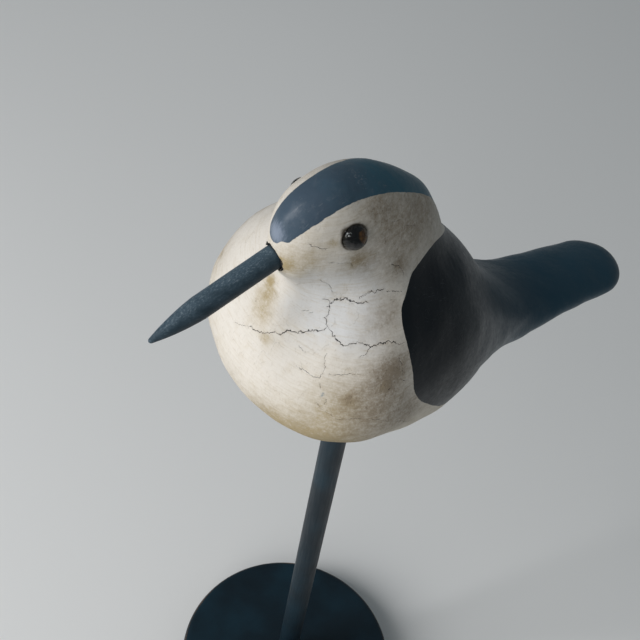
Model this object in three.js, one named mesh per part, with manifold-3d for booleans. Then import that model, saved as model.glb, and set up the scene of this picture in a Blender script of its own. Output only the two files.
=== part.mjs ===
// Carved and painted wooden shore bird on a rod and a round foot.
// Millimetres. +X points where the bill points, +Y is the bird's left, +Z is up.
// The origin is the centre of the foot's underside, on the rod's axis.

import * as THREE from 'three';
import { mergeVertices } from 'three/addons/utils/BufferGeometryUtils.js';
import Module from 'manifold-3d';

const manifold = await Module();
manifold.setup();

const rad = THREE.MathUtils.degToRad;

// Foot and rod
const FOOT_DIAMETER = 100;
const FOOT_THICKNESS = 18;
const FOOT_EDGE_RADIUS = 3;
const FOOT_LOWER_EDGE = 1.2;
const ROD_DIAMETER = 9.5;
const ROD_CHAMFER = 0.8;
const ROD_IN_FOOT = 12;
const ROD_IN_BODY = 20;

// Body and tail. They are carved round one axis that rises towards the breast.
const BODY_CENTRE = { x: 19.6, z: FOOT_THICKNESS + 274.3 };
const BODY_RISE = rad(22.7);
const BREAST_DEPTH = 30.8;
const BODY_TO_TAIL_TIP = 169.3;
const TAIL_ROUNDING = 16;

// Half width, height over the axis and depth under it, from the breast to the tail tip
const BODY_STATIONS = [
  { along: 0.0, halfWidth: 41.0, above: 43.0, below: 31.0 },
  { along: 0.2, halfWidth: 37.6, above: 38.9, below: 33.5 },
  { along: 0.38, halfWidth: 27.0, above: 19.7, below: 26.0 },
  { along: 0.56, halfWidth: 19.4, above: 4.0, below: 18.0 },
  { along: 0.76, halfWidth: 15.4, above: 4.5, below: 10.5 },
  { along: 1.0, halfWidth: 13.4, above: 8.3, below: 4.7 },
];

// The round cross sections of the body turn into the flat ones of the tail over this stretch
const TAIL_SECTION_START = 0.3;
const TAIL_SECTION_END = 0.7;

// Head, an egg that rises to the front and melts into the shoulders
const HEAD_CENTRE = { x: 13.7, z: FOOT_THICKNESS + 320 };
const HEAD_RISE = rad(33);
const HEAD_FRONT = 30.4;
const HEAD_BACK = 37.9;
const HEAD_HALF_WIDTH = 15.2;
const HEAD_HALF_HEIGHT = 20.6;
const NECK_BLEND = 11.5;

// Bill, a dowel with a pointed end, let into a hole in the face
const BILL_DIAMETER = 7.2;
const BILL_LENGTH = 42.5;
const BILL_DROP = rad(15);
const BILL_POINT_LENGTH = 17;
const BILL_TIP_RADIUS = 0.6;
const BILL_BASE = { x: 41.4, z: FOOT_THICKNESS + 322 };
const BILL_IN_HEAD = 9;

// Glass eyes. They were set by eye, the right one a little lower and deeper than the left.
const EYE_DIAMETER = 7.7;
const LEFT_EYE = { x: 23.8, z: FOOT_THICKNESS + 332.4, setBack: 0.2 };
const RIGHT_EYE = { x: 24.3, z: FOOT_THICKNESS + 330.3, setBack: 2.4 };

// A piece let into another keeps this much room all round
const FIT_GAP = 0.3;

// Fineness of the carved surface
const RINGS_ALONG_TAIL = 14;
const RINGS_ROUND_TAIL_TIP = 7;
const RINGS_OVER_BODY = 36;
const POINTS_PER_RING = 48;

// The rings across the body fan out about a line that runs over its back
const FAN_START = 0.36;
const FAN_HEIGHT = 80;

const axisForward = { x: Math.cos(BODY_RISE), z: Math.sin(BODY_RISE) };
const axisUp = { x: -Math.sin(BODY_RISE), z: Math.cos(BODY_RISE) };

// A smooth curve through the stations. It leaves the breast level and ends straight at the tip.
function throughStations(key) {
  const at = BODY_STATIONS.map((s) => s.along);
  const value = BODY_STATIONS.map((s) => s[key]);
  const last = at.length - 1;
  const step = at.slice(1).map((a, i) => a - at[i]);
  const rise = step.map((h, i) => (value[i + 1] - value[i]) / h);
  const bend = new Array(last + 1).fill(0);
  const weight = new Array(last + 1).fill(0);
  weight[0] = 0.5;
  bend[0] = (3 * rise[0]) / step[0];
  for (let i = 1; i < last; i += 1) {
    const pivot = 2 * (step[i - 1] + step[i]) - step[i - 1] * weight[i - 1];
    weight[i] = step[i] / pivot;
    bend[i] = (6 * (rise[i] - rise[i - 1]) - step[i - 1] * bend[i - 1]) / pivot;
  }
  bend[last] = 0;
  for (let i = last - 1; i >= 0; i -= 1) bend[i] -= weight[i] * bend[i + 1];
  return (along) => {
    const a = THREE.MathUtils.clamp(along, 0, 1);
    let i = 0;
    while (i < last - 1 && a > at[i + 1]) i += 1;
    const h = step[i];
    const before = at[i + 1] - a;
    const after = a - at[i];
    const straight = (value[i] * before + value[i + 1] * after) / h;
    const bow = bend[i] * (before ** 3 / h - h * before) + bend[i + 1] * (after ** 3 / h - h * after);
    return straight + bow / 6;
  };
}

const halfWidthAt = throughStations('halfWidth');
const aboveAt = throughStations('above');
const belowAt = throughStations('below');

// Signed measure of an egg from [distance, radius] pairs: negative inside it, and near
// its skin about as many millimetres as the place is away from it
function eggMeasure(...pairs) {
  const reach = Math.hypot(...pairs.map(([distance, radius]) => distance / radius)) + 1e-6;
  const slope = Math.hypot(...pairs.map(([distance, radius]) => distance / radius ** 2)) + 1e-6;
  return (reach * (reach - 1)) / slope;
}

// Signed measure of the body and tail
function bodyMeasure(x, y, z) {
  const dx = x - BODY_CENTRE.x;
  const dz = z - BODY_CENTRE.z;
  const forward = dx * axisForward.x + dz * axisForward.z;
  const up = dx * axisUp.x + dz * axisUp.z;
  const back = Math.max(-forward, 0);
  const along = Math.min(back / BODY_TO_TAIL_TIP, 1);
  const width = halfWidthAt(along);
  const above = aboveAt(along);
  const below = belowAt(along);
  const round = eggMeasure([Math.max(forward, 0), BREAST_DEPTH], [y, width], [up, up > 0 ? above : below]);
  const past = THREE.MathUtils.clamp((back - BODY_TO_TAIL_TIP) / TAIL_ROUNDING + 1, 0, 1);
  const plan = Math.sqrt(Math.max(1 - past ** 2.4, 1e-4));
  const side = Math.sqrt(Math.max(1 - past ** 4, 1e-4));
  const flat = eggMeasure([y, width * plan], [up - (above - below) / 2, ((above + below) / 2) * side]);
  const toTail = THREE.MathUtils.smoothstep(along, TAIL_SECTION_START, TAIL_SECTION_END);
  return round * (1 - toTail) + flat * toTail + Math.max(back - BODY_TO_TAIL_TIP, 0);
}

// Signed measure of the head
function headMeasure(x, y, z) {
  const dx = x - HEAD_CENTRE.x;
  const dz = z - HEAD_CENTRE.z;
  const forward = dx * Math.cos(HEAD_RISE) + dz * Math.sin(HEAD_RISE);
  const up = dz * Math.cos(HEAD_RISE) - dx * Math.sin(HEAD_RISE);
  const reach = forward > 0 ? HEAD_FRONT : HEAD_BACK;
  return eggMeasure([forward, reach], [y, HEAD_HALF_WIDTH], [up, HEAD_HALF_HEIGHT]);
}

// The two melt into one carved form at the neck
function carvedMeasure(x, y, z) {
  const body = bodyMeasure(x, y, z);
  const head = headMeasure(x, y, z);
  const mix = THREE.MathUtils.clamp(0.5 + (head - body) / (2 * NECK_BLEND), 0, 1);
  return head * (1 - mix) + body * mix - NECK_BLEND * mix * (1 - mix);
}

// Where the skin lies on a line, between a place inside it and a place outside it
function skinBetween(measure, inside, outside) {
  let low = inside;
  let high = outside;
  for (let i = 0; i < 40; i += 1) {
    const middle = (low + high) / 2;
    if (measure(middle) < 0) low = middle;
    else high = middle;
  }
  return (low + high) / 2;
}

// The stretch of wood that a line of the median plane passes through, or null
function chordOn(start, heading, reach) {
  const measure = (s) => carvedMeasure(start.x + s * heading.x, 0, start.z + s * heading.z);
  const STEP = 0.5;
  let deepest = 0;
  for (let s = 0; s < reach; s += STEP) if (measure(s) < measure(deepest)) deepest = s;
  if (measure(deepest) >= 0) return null;
  return [skinBetween(measure, deepest, 0), skinBetween(measure, deepest, reach)];
}

// One ring of points round the wood in the plane of the given line and the Y direction
function ringOn(start, heading, reach) {
  const [near, far] = chordOn(start, heading, reach);
  const middle = (near + far) / 2;
  const centre = { x: start.x + middle * heading.x, z: start.z + middle * heading.z };
  const halfChord = (far - near) / 2;
  const halfWidth = skinBetween((y) => carvedMeasure(centre.x, y, centre.z), 0, 60);
  return Array.from({ length: POINTS_PER_RING }, (_, i) => {
    const turn = (2 * Math.PI * i) / POINTS_PER_RING;
    const down = halfChord * Math.cos(turn);
    const side = halfWidth * Math.sin(turn);
    const at = (k) => [centre.x + k * down * heading.x, k * side, centre.z + k * down * heading.z];
    return at(skinBetween((k) => carvedMeasure(...at(k)), 0, 2));
  });
}

// The line of the median plane that carries a ring, square to the axis behind the rump
function lineSquareToAxis(along) {
  const back = along * BODY_TO_TAIL_TIP;
  const start = {
    x: BODY_CENTRE.x - back * axisForward.x + FAN_HEIGHT * axisUp.x,
    z: BODY_CENTRE.z - back * axisForward.z + FAN_HEIGHT * axisUp.z,
  };
  return { start, heading: { x: -axisUp.x, z: -axisUp.z }, reach: FAN_HEIGHT * 1.8 };
}

// In front of the rump the lines fan out from one place over the back
const fanCentre = lineSquareToAxis(FAN_START).start;
const fanFirst = BODY_RISE - Math.PI / 2;
function lineOfFan(angle) {
  return { start: fanCentre, heading: { x: Math.cos(angle), z: Math.sin(angle) }, reach: 190 };
}

// The fan ends where its line just touches the crown
function lastFanAngle() {
  let hits = 0;
  let misses = rad(60);
  for (let i = 0; i < 30; i += 1) {
    const middle = (hits + misses) / 2;
    const { start, heading, reach } = lineOfFan(middle);
    if (chordOn(start, heading, reach)) hits = middle;
    else misses = middle;
  }
  return hits;
}

// All the rings from the tail tip to the crown, with a single point at each end
function carvedGeometry() {
  const fanLast = lastFanAngle();
  const tipStart = 1 - TAIL_ROUNDING / BODY_TO_TAIL_TIP;
  const lines = [];
  for (let i = 1; i < RINGS_ROUND_TAIL_TIP; i += 1) {
    const t = Math.sin((i / RINGS_ROUND_TAIL_TIP) * (Math.PI / 2));
    lines.push(lineSquareToAxis(1 - (1 - Math.sqrt(1 - t * t)) * (1 - tipStart)));
  }
  for (let i = 0; i < RINGS_ALONG_TAIL; i += 1) {
    lines.push(lineSquareToAxis(tipStart + (i / RINGS_ALONG_TAIL) * (FAN_START - tipStart)));
  }
  for (let i = 0; i < RINGS_OVER_BODY; i += 1) {
    const t = i / RINGS_OVER_BODY;
    const eased = Math.sin((t * Math.PI) / 2) * 0.6 + (1 - (1 - t) ** 2) * 0.4;
    lines.push(lineOfFan(fanFirst + (fanLast - fanFirst) * eased));
  }
  const rings = lines.map(({ start, heading, reach }) => ringOn(start, heading, reach));

  const tailTip = lineSquareToAxis(1);
  const tipUp = (aboveAt(1) - belowAt(1)) / 2;
  const tipPoint = [
    tailTip.start.x + (FAN_HEIGHT - tipUp) * tailTip.heading.x,
    0,
    tailTip.start.z + (FAN_HEIGHT - tipUp) * tailTip.heading.z,
  ];
  const crown = lineOfFan(fanLast);
  const [near, far] = chordOn(crown.start, crown.heading, crown.reach);
  const reach = (near + far) / 2;
  const crownPoint = [
    crown.start.x + reach * crown.heading.x,
    0,
    crown.start.z + reach * crown.heading.z,
  ];

  const points = [tipPoint, ...rings.flat(), crownPoint];
  const crownIndex = points.length - 1;
  const vertex = (ring, i) => 1 + ring * POINTS_PER_RING + (i % POINTS_PER_RING);
  const faces = [];
  for (let i = 0; i < POINTS_PER_RING; i += 1) {
    faces.push(0, vertex(0, i + 1), vertex(0, i));
    faces.push(crownIndex, vertex(rings.length - 1, i), vertex(rings.length - 1, i + 1));
    for (let ring = 0; ring < rings.length - 1; ring += 1) {
      faces.push(vertex(ring, i), vertex(ring, i + 1), vertex(ring + 1, i + 1));
      faces.push(vertex(ring, i), vertex(ring + 1, i + 1), vertex(ring + 1, i));
    }
  }
  const geometry = new THREE.BufferGeometry();
  geometry.setAttribute('position', new THREE.Float32BufferAttribute(points.flat(), 3));
  geometry.setIndex(faces);
  return geometry;
}

// A solid for cutting, from a closed geometry, and back again
function solidOf(geometry) {
  const bare = geometry.clone();
  bare.deleteAttribute('normal');
  bare.deleteAttribute('uv');
  const merged = mergeVertices(bare, 1e-4);
  return new manifold.Manifold(
    new manifold.Mesh({
      numProp: 3,
      vertProperties: new Float32Array(merged.attributes.position.array),
      triVerts: new Uint32Array(merged.index.array),
    }),
  );
}

function geometryOf(solid) {
  const mesh = solid.getMesh();
  const geometry = new THREE.BufferGeometry();
  geometry.setAttribute('position', new THREE.BufferAttribute(mesh.vertProperties, 3));
  geometry.setIndex(new THREE.BufferAttribute(mesh.triVerts, 1));
  return geometry;
}

// A turned solid about its own Y axis from [radius, height] pairs
function turned(profile, sides) {
  return new THREE.LatheGeometry(profile.map(([r, h]) => new THREE.Vector2(r, h)), sides);
}

// A quarter round from one angle to another about a centre of the profile
function quarterRound(centreR, centreH, radius, fromDeg, steps) {
  return Array.from({ length: steps + 1 }, (_, i) => {
    const angle = rad(fromDeg + (90 * i) / steps);
    return [centreR + radius * Math.cos(angle), centreH + radius * Math.sin(angle)];
  });
}

// Rod with eased ends, from the foot's hole to the hole in the belly
function rodGeometry(radius, bottom, top, chamfer) {
  const profile = [
    [0, bottom],
    [radius - chamfer, bottom],
    [radius, bottom + chamfer],
    [radius, top - chamfer],
    [radius - chamfer, top],
    [0, top],
  ];
  return turned(profile, 32).rotateX(Math.PI / 2);
}

const rodRadius = ROD_DIAMETER / 2;
const rodBottom = FOOT_THICKNESS - ROD_IN_FOOT;
const bellyHeight = skinBetween((z) => carvedMeasure(0, 0, z), BODY_CENTRE.z, FOOT_THICKNESS + 100);
const rodTop = bellyHeight + ROD_IN_BODY;

// Foot with its top edge rounded over, its lower edge eased and a hole for the rod
function footGeometry() {
  const radius = FOOT_DIAMETER / 2;
  const top = FOOT_THICKNESS;
  const hole = rodRadius + FIT_GAP;
  const holeBottom = rodBottom - FIT_GAP;
  const profile = [
    [0, 0],
    [radius - FOOT_LOWER_EDGE, 0],
    [radius, FOOT_LOWER_EDGE],
    ...quarterRound(radius - FOOT_EDGE_RADIUS, top - FOOT_EDGE_RADIUS, FOOT_EDGE_RADIUS, 0, 4),
    [hole, top],
    [hole, holeBottom],
    [0, holeBottom],
  ];
  return turned(profile, 64).rotateX(Math.PI / 2);
}

// Bill: straight for most of its length, then drawn to a point along a curve
function billProfile(radius) {
  const shoulder = BILL_LENGTH - BILL_POINT_LENGTH;
  const STEPS = 9;
  const point = Array.from({ length: STEPS + 1 }, (_, i) => {
    const t = i / STEPS;
    const taper = radius - (radius - BILL_TIP_RADIUS) * (0.35 * t + 0.65 * t * t);
    return [taper, shoulder + t * (BILL_POINT_LENGTH - BILL_TIP_RADIUS)];
  });
  return [[0, -BILL_IN_HEAD], [radius, -BILL_IN_HEAD], ...point, [0, BILL_LENGTH]];
}

// Turns a piece made along +Y so that it lies along the bill
function alongBill(geometry) {
  return geometry.rotateZ(-Math.PI / 2 - BILL_DROP).rotateX(Math.PI / 2);
}

const billRadius = BILL_DIAMETER / 2;
const billGeometry = alongBill(turned(billProfile(billRadius), 28));

// Each eye sits where the head's skin is, let in by its own amount. The side is 1 on the left and -1 on the right.
const eyeRadius = EYE_DIAMETER / 2;
function skinNormal(x, y, z) {
  const h = 0.01;
  const along = (dx, dy, dz) => carvedMeasure(x + dx, y + dy, z + dz) - carvedMeasure(x - dx, y - dy, z - dz);
  return new THREE.Vector3(along(h, 0, 0), along(0, h, 0), along(0, 0, h)).normalize();
}
function eyeCentre(eye, side) {
  const skin = skinBetween((y) => carvedMeasure(eye.x, y, eye.z), 0, 40);
  const centre = new THREE.Vector3(eye.x, skin, eye.z);
  centre.addScaledVector(skinNormal(eye.x, skin, eye.z), -eye.setBack);
  return centre.multiply(new THREE.Vector3(1, side, 1));
}
const leftEyeCentre = eyeCentre(LEFT_EYE, 1);
const rightEyeCentre = eyeCentre(RIGHT_EYE, -1);

function eyeGeometry(radius) {
  return new THREE.SphereGeometry(radius, 16, 12);
}

// The body with the holes that the rod, the bill and the eyes sit in
function bodyGeometry() {
  const rodHole = rodGeometry(rodRadius + FIT_GAP, bellyHeight - 30, rodTop + FIT_GAP, ROD_CHAMFER);
  const holeProfile = [
    [0, -BILL_IN_HEAD - FIT_GAP],
    [billRadius + FIT_GAP, -BILL_IN_HEAD - FIT_GAP],
    [billRadius + FIT_GAP, BILL_LENGTH / 2],
    [0, BILL_LENGTH / 2],
  ];
  const billHole = alongBill(turned(holeProfile, 28)).translate(BILL_BASE.x, 0, BILL_BASE.z);
  let solid = solidOf(carvedGeometry());
  solid = solid.subtract(solidOf(rodHole));
  solid = solid.subtract(solidOf(billHole));
  for (const centre of [leftEyeCentre, rightEyeCentre]) {
    const socket = eyeGeometry(eyeRadius + FIT_GAP).translate(centre.x, centre.y, centre.z);
    solid = solid.subtract(solidOf(socket));
  }
  return geometryOf(solid);
}

// Paint and glass
const creamPaint = new THREE.MeshStandardMaterial({ color: 0xd9ccb6, roughness: 0.55, metalness: 0 });
const darkPaint = new THREE.MeshStandardMaterial({ color: 0x1b242c, roughness: 0.42, metalness: 0 });
const billPaint = new THREE.MeshStandardMaterial({ color: 0x2d373e, roughness: 0.6, metalness: 0 });
const rodPaint = new THREE.MeshStandardMaterial({ color: 0x1f262e, roughness: 0.45, metalness: 0 });
const eyeGlass = new THREE.MeshStandardMaterial({ color: 0x1a100a, roughness: 0.05, metalness: 0 });

function piece(name, geometry, material, place = new THREE.Vector3()) {
  const mesh = new THREE.Mesh(geometry, material);
  mesh.name = name;
  mesh.position.copy(place);
  return mesh;
}

const bird = new THREE.Group();
bird.add(piece('carved_body', bodyGeometry(), creamPaint));
bird.add(piece('bill', billGeometry, billPaint, new THREE.Vector3(BILL_BASE.x, 0, BILL_BASE.z)));
bird.add(piece('left_eye', eyeGeometry(eyeRadius), eyeGlass, leftEyeCentre));
bird.add(piece('right_eye', eyeGeometry(eyeRadius), eyeGlass, rightEyeCentre));

const stand = new THREE.Group();
stand.add(piece('stand_rod', rodGeometry(rodRadius, rodBottom, rodTop, ROD_CHAMFER), rodPaint));
stand.add(piece('round_foot', footGeometry(), darkPaint));

const figurine = new THREE.Group();
figurine.add(bird, stand);

export default figurine;
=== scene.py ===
import math

import bmesh
import bpy
import numpy as np
from mathutils import Matrix, Vector
from mathutils.kdtree import KDTree


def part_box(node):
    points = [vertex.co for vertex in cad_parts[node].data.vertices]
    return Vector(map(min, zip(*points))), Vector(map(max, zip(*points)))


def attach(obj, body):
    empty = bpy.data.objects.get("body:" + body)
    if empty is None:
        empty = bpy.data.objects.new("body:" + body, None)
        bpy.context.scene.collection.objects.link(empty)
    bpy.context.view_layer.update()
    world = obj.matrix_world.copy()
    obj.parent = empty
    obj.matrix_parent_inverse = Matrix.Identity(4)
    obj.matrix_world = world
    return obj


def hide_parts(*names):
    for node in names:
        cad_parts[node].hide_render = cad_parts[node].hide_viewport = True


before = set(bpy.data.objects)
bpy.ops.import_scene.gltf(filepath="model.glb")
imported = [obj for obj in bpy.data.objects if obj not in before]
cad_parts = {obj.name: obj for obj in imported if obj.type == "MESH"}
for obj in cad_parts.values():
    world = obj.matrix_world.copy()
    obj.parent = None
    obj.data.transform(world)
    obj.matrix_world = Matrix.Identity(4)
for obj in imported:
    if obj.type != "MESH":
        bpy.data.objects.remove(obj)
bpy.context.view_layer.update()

# Camera
# The picture is taken from half a metre in front of the bird's left shoulder, looking steeply down on it.
# The lens is long for its small square picture, and the camera is rolled a little to one side.
MM = 0.001
PICTURE = 640
LENS = 50.0
SENSOR = 24.0
CAMERA_PLACE = np.array([203.2, 184.7, 624.8])
CAMERA_HEADING = math.radians(225)
CAMERA_DIP = math.radians(51.6)
CAMERA_ROLL = math.radians(10.4)

camera_forward = np.array([
    math.cos(CAMERA_HEADING) * math.cos(CAMERA_DIP),
    math.sin(CAMERA_HEADING) * math.cos(CAMERA_DIP),
    -math.sin(CAMERA_DIP),
])
level_right = np.array([math.sin(CAMERA_HEADING), -math.cos(CAMERA_HEADING), 0.0])
level_down = np.cross(camera_forward, level_right)
camera_right = math.cos(CAMERA_ROLL) * level_right - math.sin(CAMERA_ROLL) * level_down
camera_down = math.sin(CAMERA_ROLL) * level_right + math.cos(CAMERA_ROLL) * level_down

camera_data = bpy.data.cameras.new("camera")
camera_data.lens = LENS
camera_data.sensor_width = SENSOR
camera_data.clip_start = 0.01
camera_data.clip_end = 20.0
camera = bpy.data.objects.new("camera", camera_data)
turn = np.array([camera_right, -camera_down, -camera_forward]).T
camera.matrix_world = Matrix.Translation(Vector(CAMERA_PLACE * MM)) @ Matrix(turn.tolist()).to_4x4()
bpy.context.scene.collection.objects.link(camera)
bpy.context.scene.camera = camera


def sight(pixel):
    """The direction in which the camera sees a pixel of its picture."""
    focal = LENS / SENSOR * PICTURE
    across = (pixel[0] - PICTURE / 2) / focal
    down = (pixel[1] - PICTURE / 2) / focal
    direction = camera_forward + across * camera_right + down * camera_down
    return direction / np.linalg.norm(direction)


# Round foot
# A disc turned from one piece of wood, its upper edge rounded over and its lower edge eased. A hole in the
# middle takes the rod. It is painted blue-black, and the paint has rubbed thin along the upper edge.
FOOT_TOP_ROUND = 3.0
FOOT_LOWER_ROUND = 1.2
FOOT_HOLE_ROOM = 0.3
FOOT_STEP = 1.1
FOOT_SIDES = 288
STAND_BLACK = (0.0040, 0.0115, 0.0180, 1)
STAND_BLUE = (0.0060, 0.0230, 0.0360, 1)
STAND_DUSTY = (0.0170, 0.0400, 0.0540, 1)
RUBBED_WOOD = (0.1100, 0.0620, 0.0330, 1)
DARK_GLOSS_LEVEL = 0.30


def shader_node(tree, kind, inputs=(), **settings):
    """Adds one shader node. An input is a value, or the output of another node."""
    made = tree.nodes.new("ShaderNode" + kind)
    for name, value in settings.items():
        setattr(made, name, value)
    for socket, value in dict(inputs).items():
        if isinstance(value, bpy.types.NodeSocket):
            tree.links.new(value, made.inputs[socket])
        else:
            made.inputs[socket].default_value = value
    return made


def new_paint(name):
    """A new material with its tree, its shader and the place on the object in millimetres."""
    material = bpy.data.materials.new(name)
    material.use_nodes = True
    tree = material.node_tree
    place = shader_node(tree, "TexCoord").outputs["Object"]
    place = shader_node(tree, "Mapping", {0: place, "Scale": (1000, 1000, 1000)}).outputs[0]
    return material, tree, tree.nodes["Principled BSDF"], place


def cloudy(tree, place, size, stretch=(1, 1, 1), detail=3.0, rough=0.5, warp=0.0):
    """Noise from 0 to 1 with features of the given size in millimetres, longer where stretch is more."""
    scale = [1 / (size * s) for s in stretch]
    mapped = shader_node(tree, "Mapping", {0: place, "Scale": scale}).outputs[0]
    inputs = {"Vector": mapped, "Scale": 1.0, "Detail": detail, "Roughness": rough, "Distortion": warp}
    return shader_node(tree, "TexNoise", inputs).outputs[0]


def share(tree, value, low, high, most=1.0):
    """0 below low and most above high, with a soft step between them. Low above high turns it round."""
    inputs = {0: value, 1: low, 2: high, 3: 0.0, 4: most}
    if low > high:
        inputs = {0: value, 1: high, 2: low, 3: most, 4: 0.0}
    return shader_node(tree, "MapRange", inputs, interpolation_type="SMOOTHSTEP").outputs[0]


def sums(tree, operation, first, second=0.5):
    """A sum of two numbers, such as ADD or MULTIPLY."""
    return shader_node(tree, "Math", {0: first, 1: second}, operation=operation).outputs[0]


def over(tree, amount, lower, upper):
    """The upper colour laid over the lower one by the given share."""
    made = shader_node(tree, "Mix", {0: amount, 6: lower, 7: upper}, data_type="RGBA")
    return made.outputs[2]


def raised(tree, height, depth, under=None):
    """A bump from a height of 0 to 1 that stands for the given depth in millimetres."""
    inputs = {"Height": height, "Distance": depth * MM, "Strength": 1.0}
    if under is not None:
        inputs["Normal"] = under
    return shader_node(tree, "Bump", inputs).outputs[0]


def mesh_of(name, points, faces):
    """A mesh object from points in millimetres, with smooth faces that point outwards."""
    mesh = bpy.data.meshes.new(name)
    mesh.from_pydata((np.asarray(points) * MM).tolist(), [], [list(map(int, f)) for f in faces])
    shaper = bmesh.new()
    shaper.from_mesh(mesh)
    bmesh.ops.recalc_face_normals(shaper, faces=shaper.faces[:])
    shaper.to_mesh(mesh)
    shaper.free()
    mesh.shade_smooth()
    made = bpy.data.objects.new(name, mesh)
    bpy.context.scene.collection.objects.link(made)
    return made


def set_value(obj, name, values):
    """Stores one number for each point of a piece, for its material to read."""
    layer = obj.data.attributes.new(name, "FLOAT", "POINT")
    layer.data.foreach_set("value", np.asarray(values, np.float32))


def read_value(tree, name):
    return shader_node(tree, "Attribute", attribute_name=name).outputs["Fac"]


def lathe(name, profile, sides):
    """A turned piece about the Z axis, from pairs of radius and height that start and end on the axis."""
    turns = np.linspace(0, 2 * np.pi, sides, endpoint=False)
    rings = [
        np.stack([r * np.cos(turns), r * np.sin(turns), np.full(sides, h)], 1)
        for r, h in profile[1:-1]
    ]
    points = np.concatenate([*rings, [[0, 0, profile[0][1]], [0, 0, profile[-1][1]]]])
    first = len(points) - 2
    last = first + 1
    faces = []
    for i in range(sides):
        j = (i + 1) % sides
        faces.append((first, j, i))
        faces.append((last, (len(rings) - 1) * sides + i, (len(rings) - 1) * sides + j))
        for k in range(len(rings) - 1):
            faces.append((k * sides + i, k * sides + j, (k + 1) * sides + j, (k + 1) * sides + i))
    return mesh_of(name, points, faces)


def rounded(corners, step):
    """A profile through corners of radius, height and rounding, with points no further apart than step."""
    path = [np.array(corners[0][:2], float)]
    for before, corner, after in zip(corners, corners[1:], corners[2:]):
        here = np.array(corner[:2], float)
        back = np.array(before[:2]) - here
        ahead = np.array(after[:2]) - here
        start = here + back / np.linalg.norm(back) * corner[2]
        end = here + ahead / np.linalg.norm(ahead) * corner[2]
        for t in np.linspace(0, 1, 7 if corner[2] else 1):
            path.append((1 - t) ** 2 * start + 2 * t * (1 - t) * here + t * t * end)
    path.append(np.array(corners[-1][:2], float))
    full = [path[0]]
    for a, b in zip(path, path[1:]):
        pieces = max(1, math.ceil(np.linalg.norm(b - a) / step))
        full += [a + (b - a) * k / pieces for k in range(1, pieces + 1)]
    return full


foot_low, foot_high = (np.array(corner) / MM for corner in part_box("round_foot"))
rod_low, rod_high = (np.array(corner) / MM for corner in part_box("stand_rod"))
foot_radius = (foot_high[0] - foot_low[0]) / 2
foot_top = foot_high[2]
rod_radius = (rod_high[0] - rod_low[0]) / 2
foot_hole = rod_radius + FOOT_HOLE_ROOM
foot_hole_bottom = rod_low[2] - FOOT_HOLE_ROOM

foot = lathe("painted_foot", rounded([
    (0, 0, 0),
    (foot_radius, 0, FOOT_LOWER_ROUND),
    (foot_radius, foot_top, FOOT_TOP_ROUND),
    (foot_hole, foot_top, 0.3),
    (foot_hole, foot_hole_bottom, 0),
    (0, foot_hole_bottom, 0),
], FOOT_STEP), FOOT_SIDES)
foot_points = np.array([v.co for v in foot.data.vertices]) / MM
foot_out = np.hypot(foot_points[:, 0], foot_points[:, 1])
corner_distance = np.hypot(foot_radius - 1 - foot_out, foot_top - 1 - foot_points[:, 2])
set_value(foot, "rubbed", np.clip(1 - corner_distance / 2.6, 0, 1))

stand_paint, tree, shader, place = new_paint("blue_black_stand_paint")
broad = cloudy(tree, place, 22, detail=4)
strokes = cloudy(tree, place, 0.9, stretch=(1, 1, 14), detail=4, rough=0.6)
specks = cloudy(tree, place, 0.45, detail=3)
flat_place = shader_node(tree, "VectorMath", {0: place, 1: (1, 1, 0)}, operation="MULTIPLY").outputs[0]
turned_radius = shader_node(tree, "VectorMath", {0: flat_place}, operation="LENGTH").outputs["Value"]
turned_radius = sums(tree, "ADD", turned_radius, sums(tree, "MULTIPLY", broad, 6.0))
ring_place = shader_node(tree, "CombineXYZ", {0: turned_radius}).outputs[0]
turning_rings = cloudy(tree, ring_place, 1.1, detail=4, rough=0.65)
colour = over(tree, share(tree, broad, 0.35, 0.75), STAND_BLACK, STAND_BLUE)
dust = sums(tree, "MULTIPLY", share(tree, turning_rings, 0.5, 0.8), share(tree, strokes, 0.35, 0.75))
colour = over(tree, sums(tree, "MULTIPLY", dust, 0.5), colour, STAND_DUSTY)
worn = sums(tree, "ADD", read_value(tree, "rubbed"), sums(tree, "MULTIPLY", broad, 0.55))
worn = sums(tree, "ADD", worn, sums(tree, "MULTIPLY", specks, 0.55))
colour = over(tree, share(tree, worn, 1.36, 1.5), colour, RUBBED_WOOD)
tree.links.new(colour, shader.inputs["Base Color"])
gloss = shader_node(tree, "MapRange", {0: strokes, 1: 0.25, 2: 0.75, 3: 0.36, 4: 0.58}).outputs[0]
tree.links.new(gloss, shader.inputs["Roughness"])
shader.inputs["Specular IOR Level"].default_value = DARK_GLOSS_LEVEL
surface = raised(tree, strokes, 0.05)
surface = raised(tree, turning_rings, 0.03, surface)
surface = raised(tree, specks, 0.02, surface)
tree.links.new(surface, shader.inputs["Normal"])
foot.data.materials.append(stand_paint)
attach(foot, "root")
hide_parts("round_foot")

# Rod
# A straight wooden dowel, let into the foot below and the belly above, painted like the foot. The paint
# lies on it in long strokes, over a surface that a turned or rolled dowel never has quite round.
ROD_SIDES = 56
ROD_STEP = 1.6
ROD_UNEVEN = 0.07


def tree_node(tree, kind, inputs=(), **settings):
    """Adds one node of a geometry tree. An input is a value, or the output of another node."""
    made = tree.nodes.new(kind)
    for name, value in settings.items():
        setattr(made, name, value)
    for socket, value in dict(inputs).items():
        if isinstance(value, bpy.types.NodeSocket):
            tree.links.new(value, made.inputs[socket])
        else:
            made.inputs[socket].default_value = value
    return made


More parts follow.
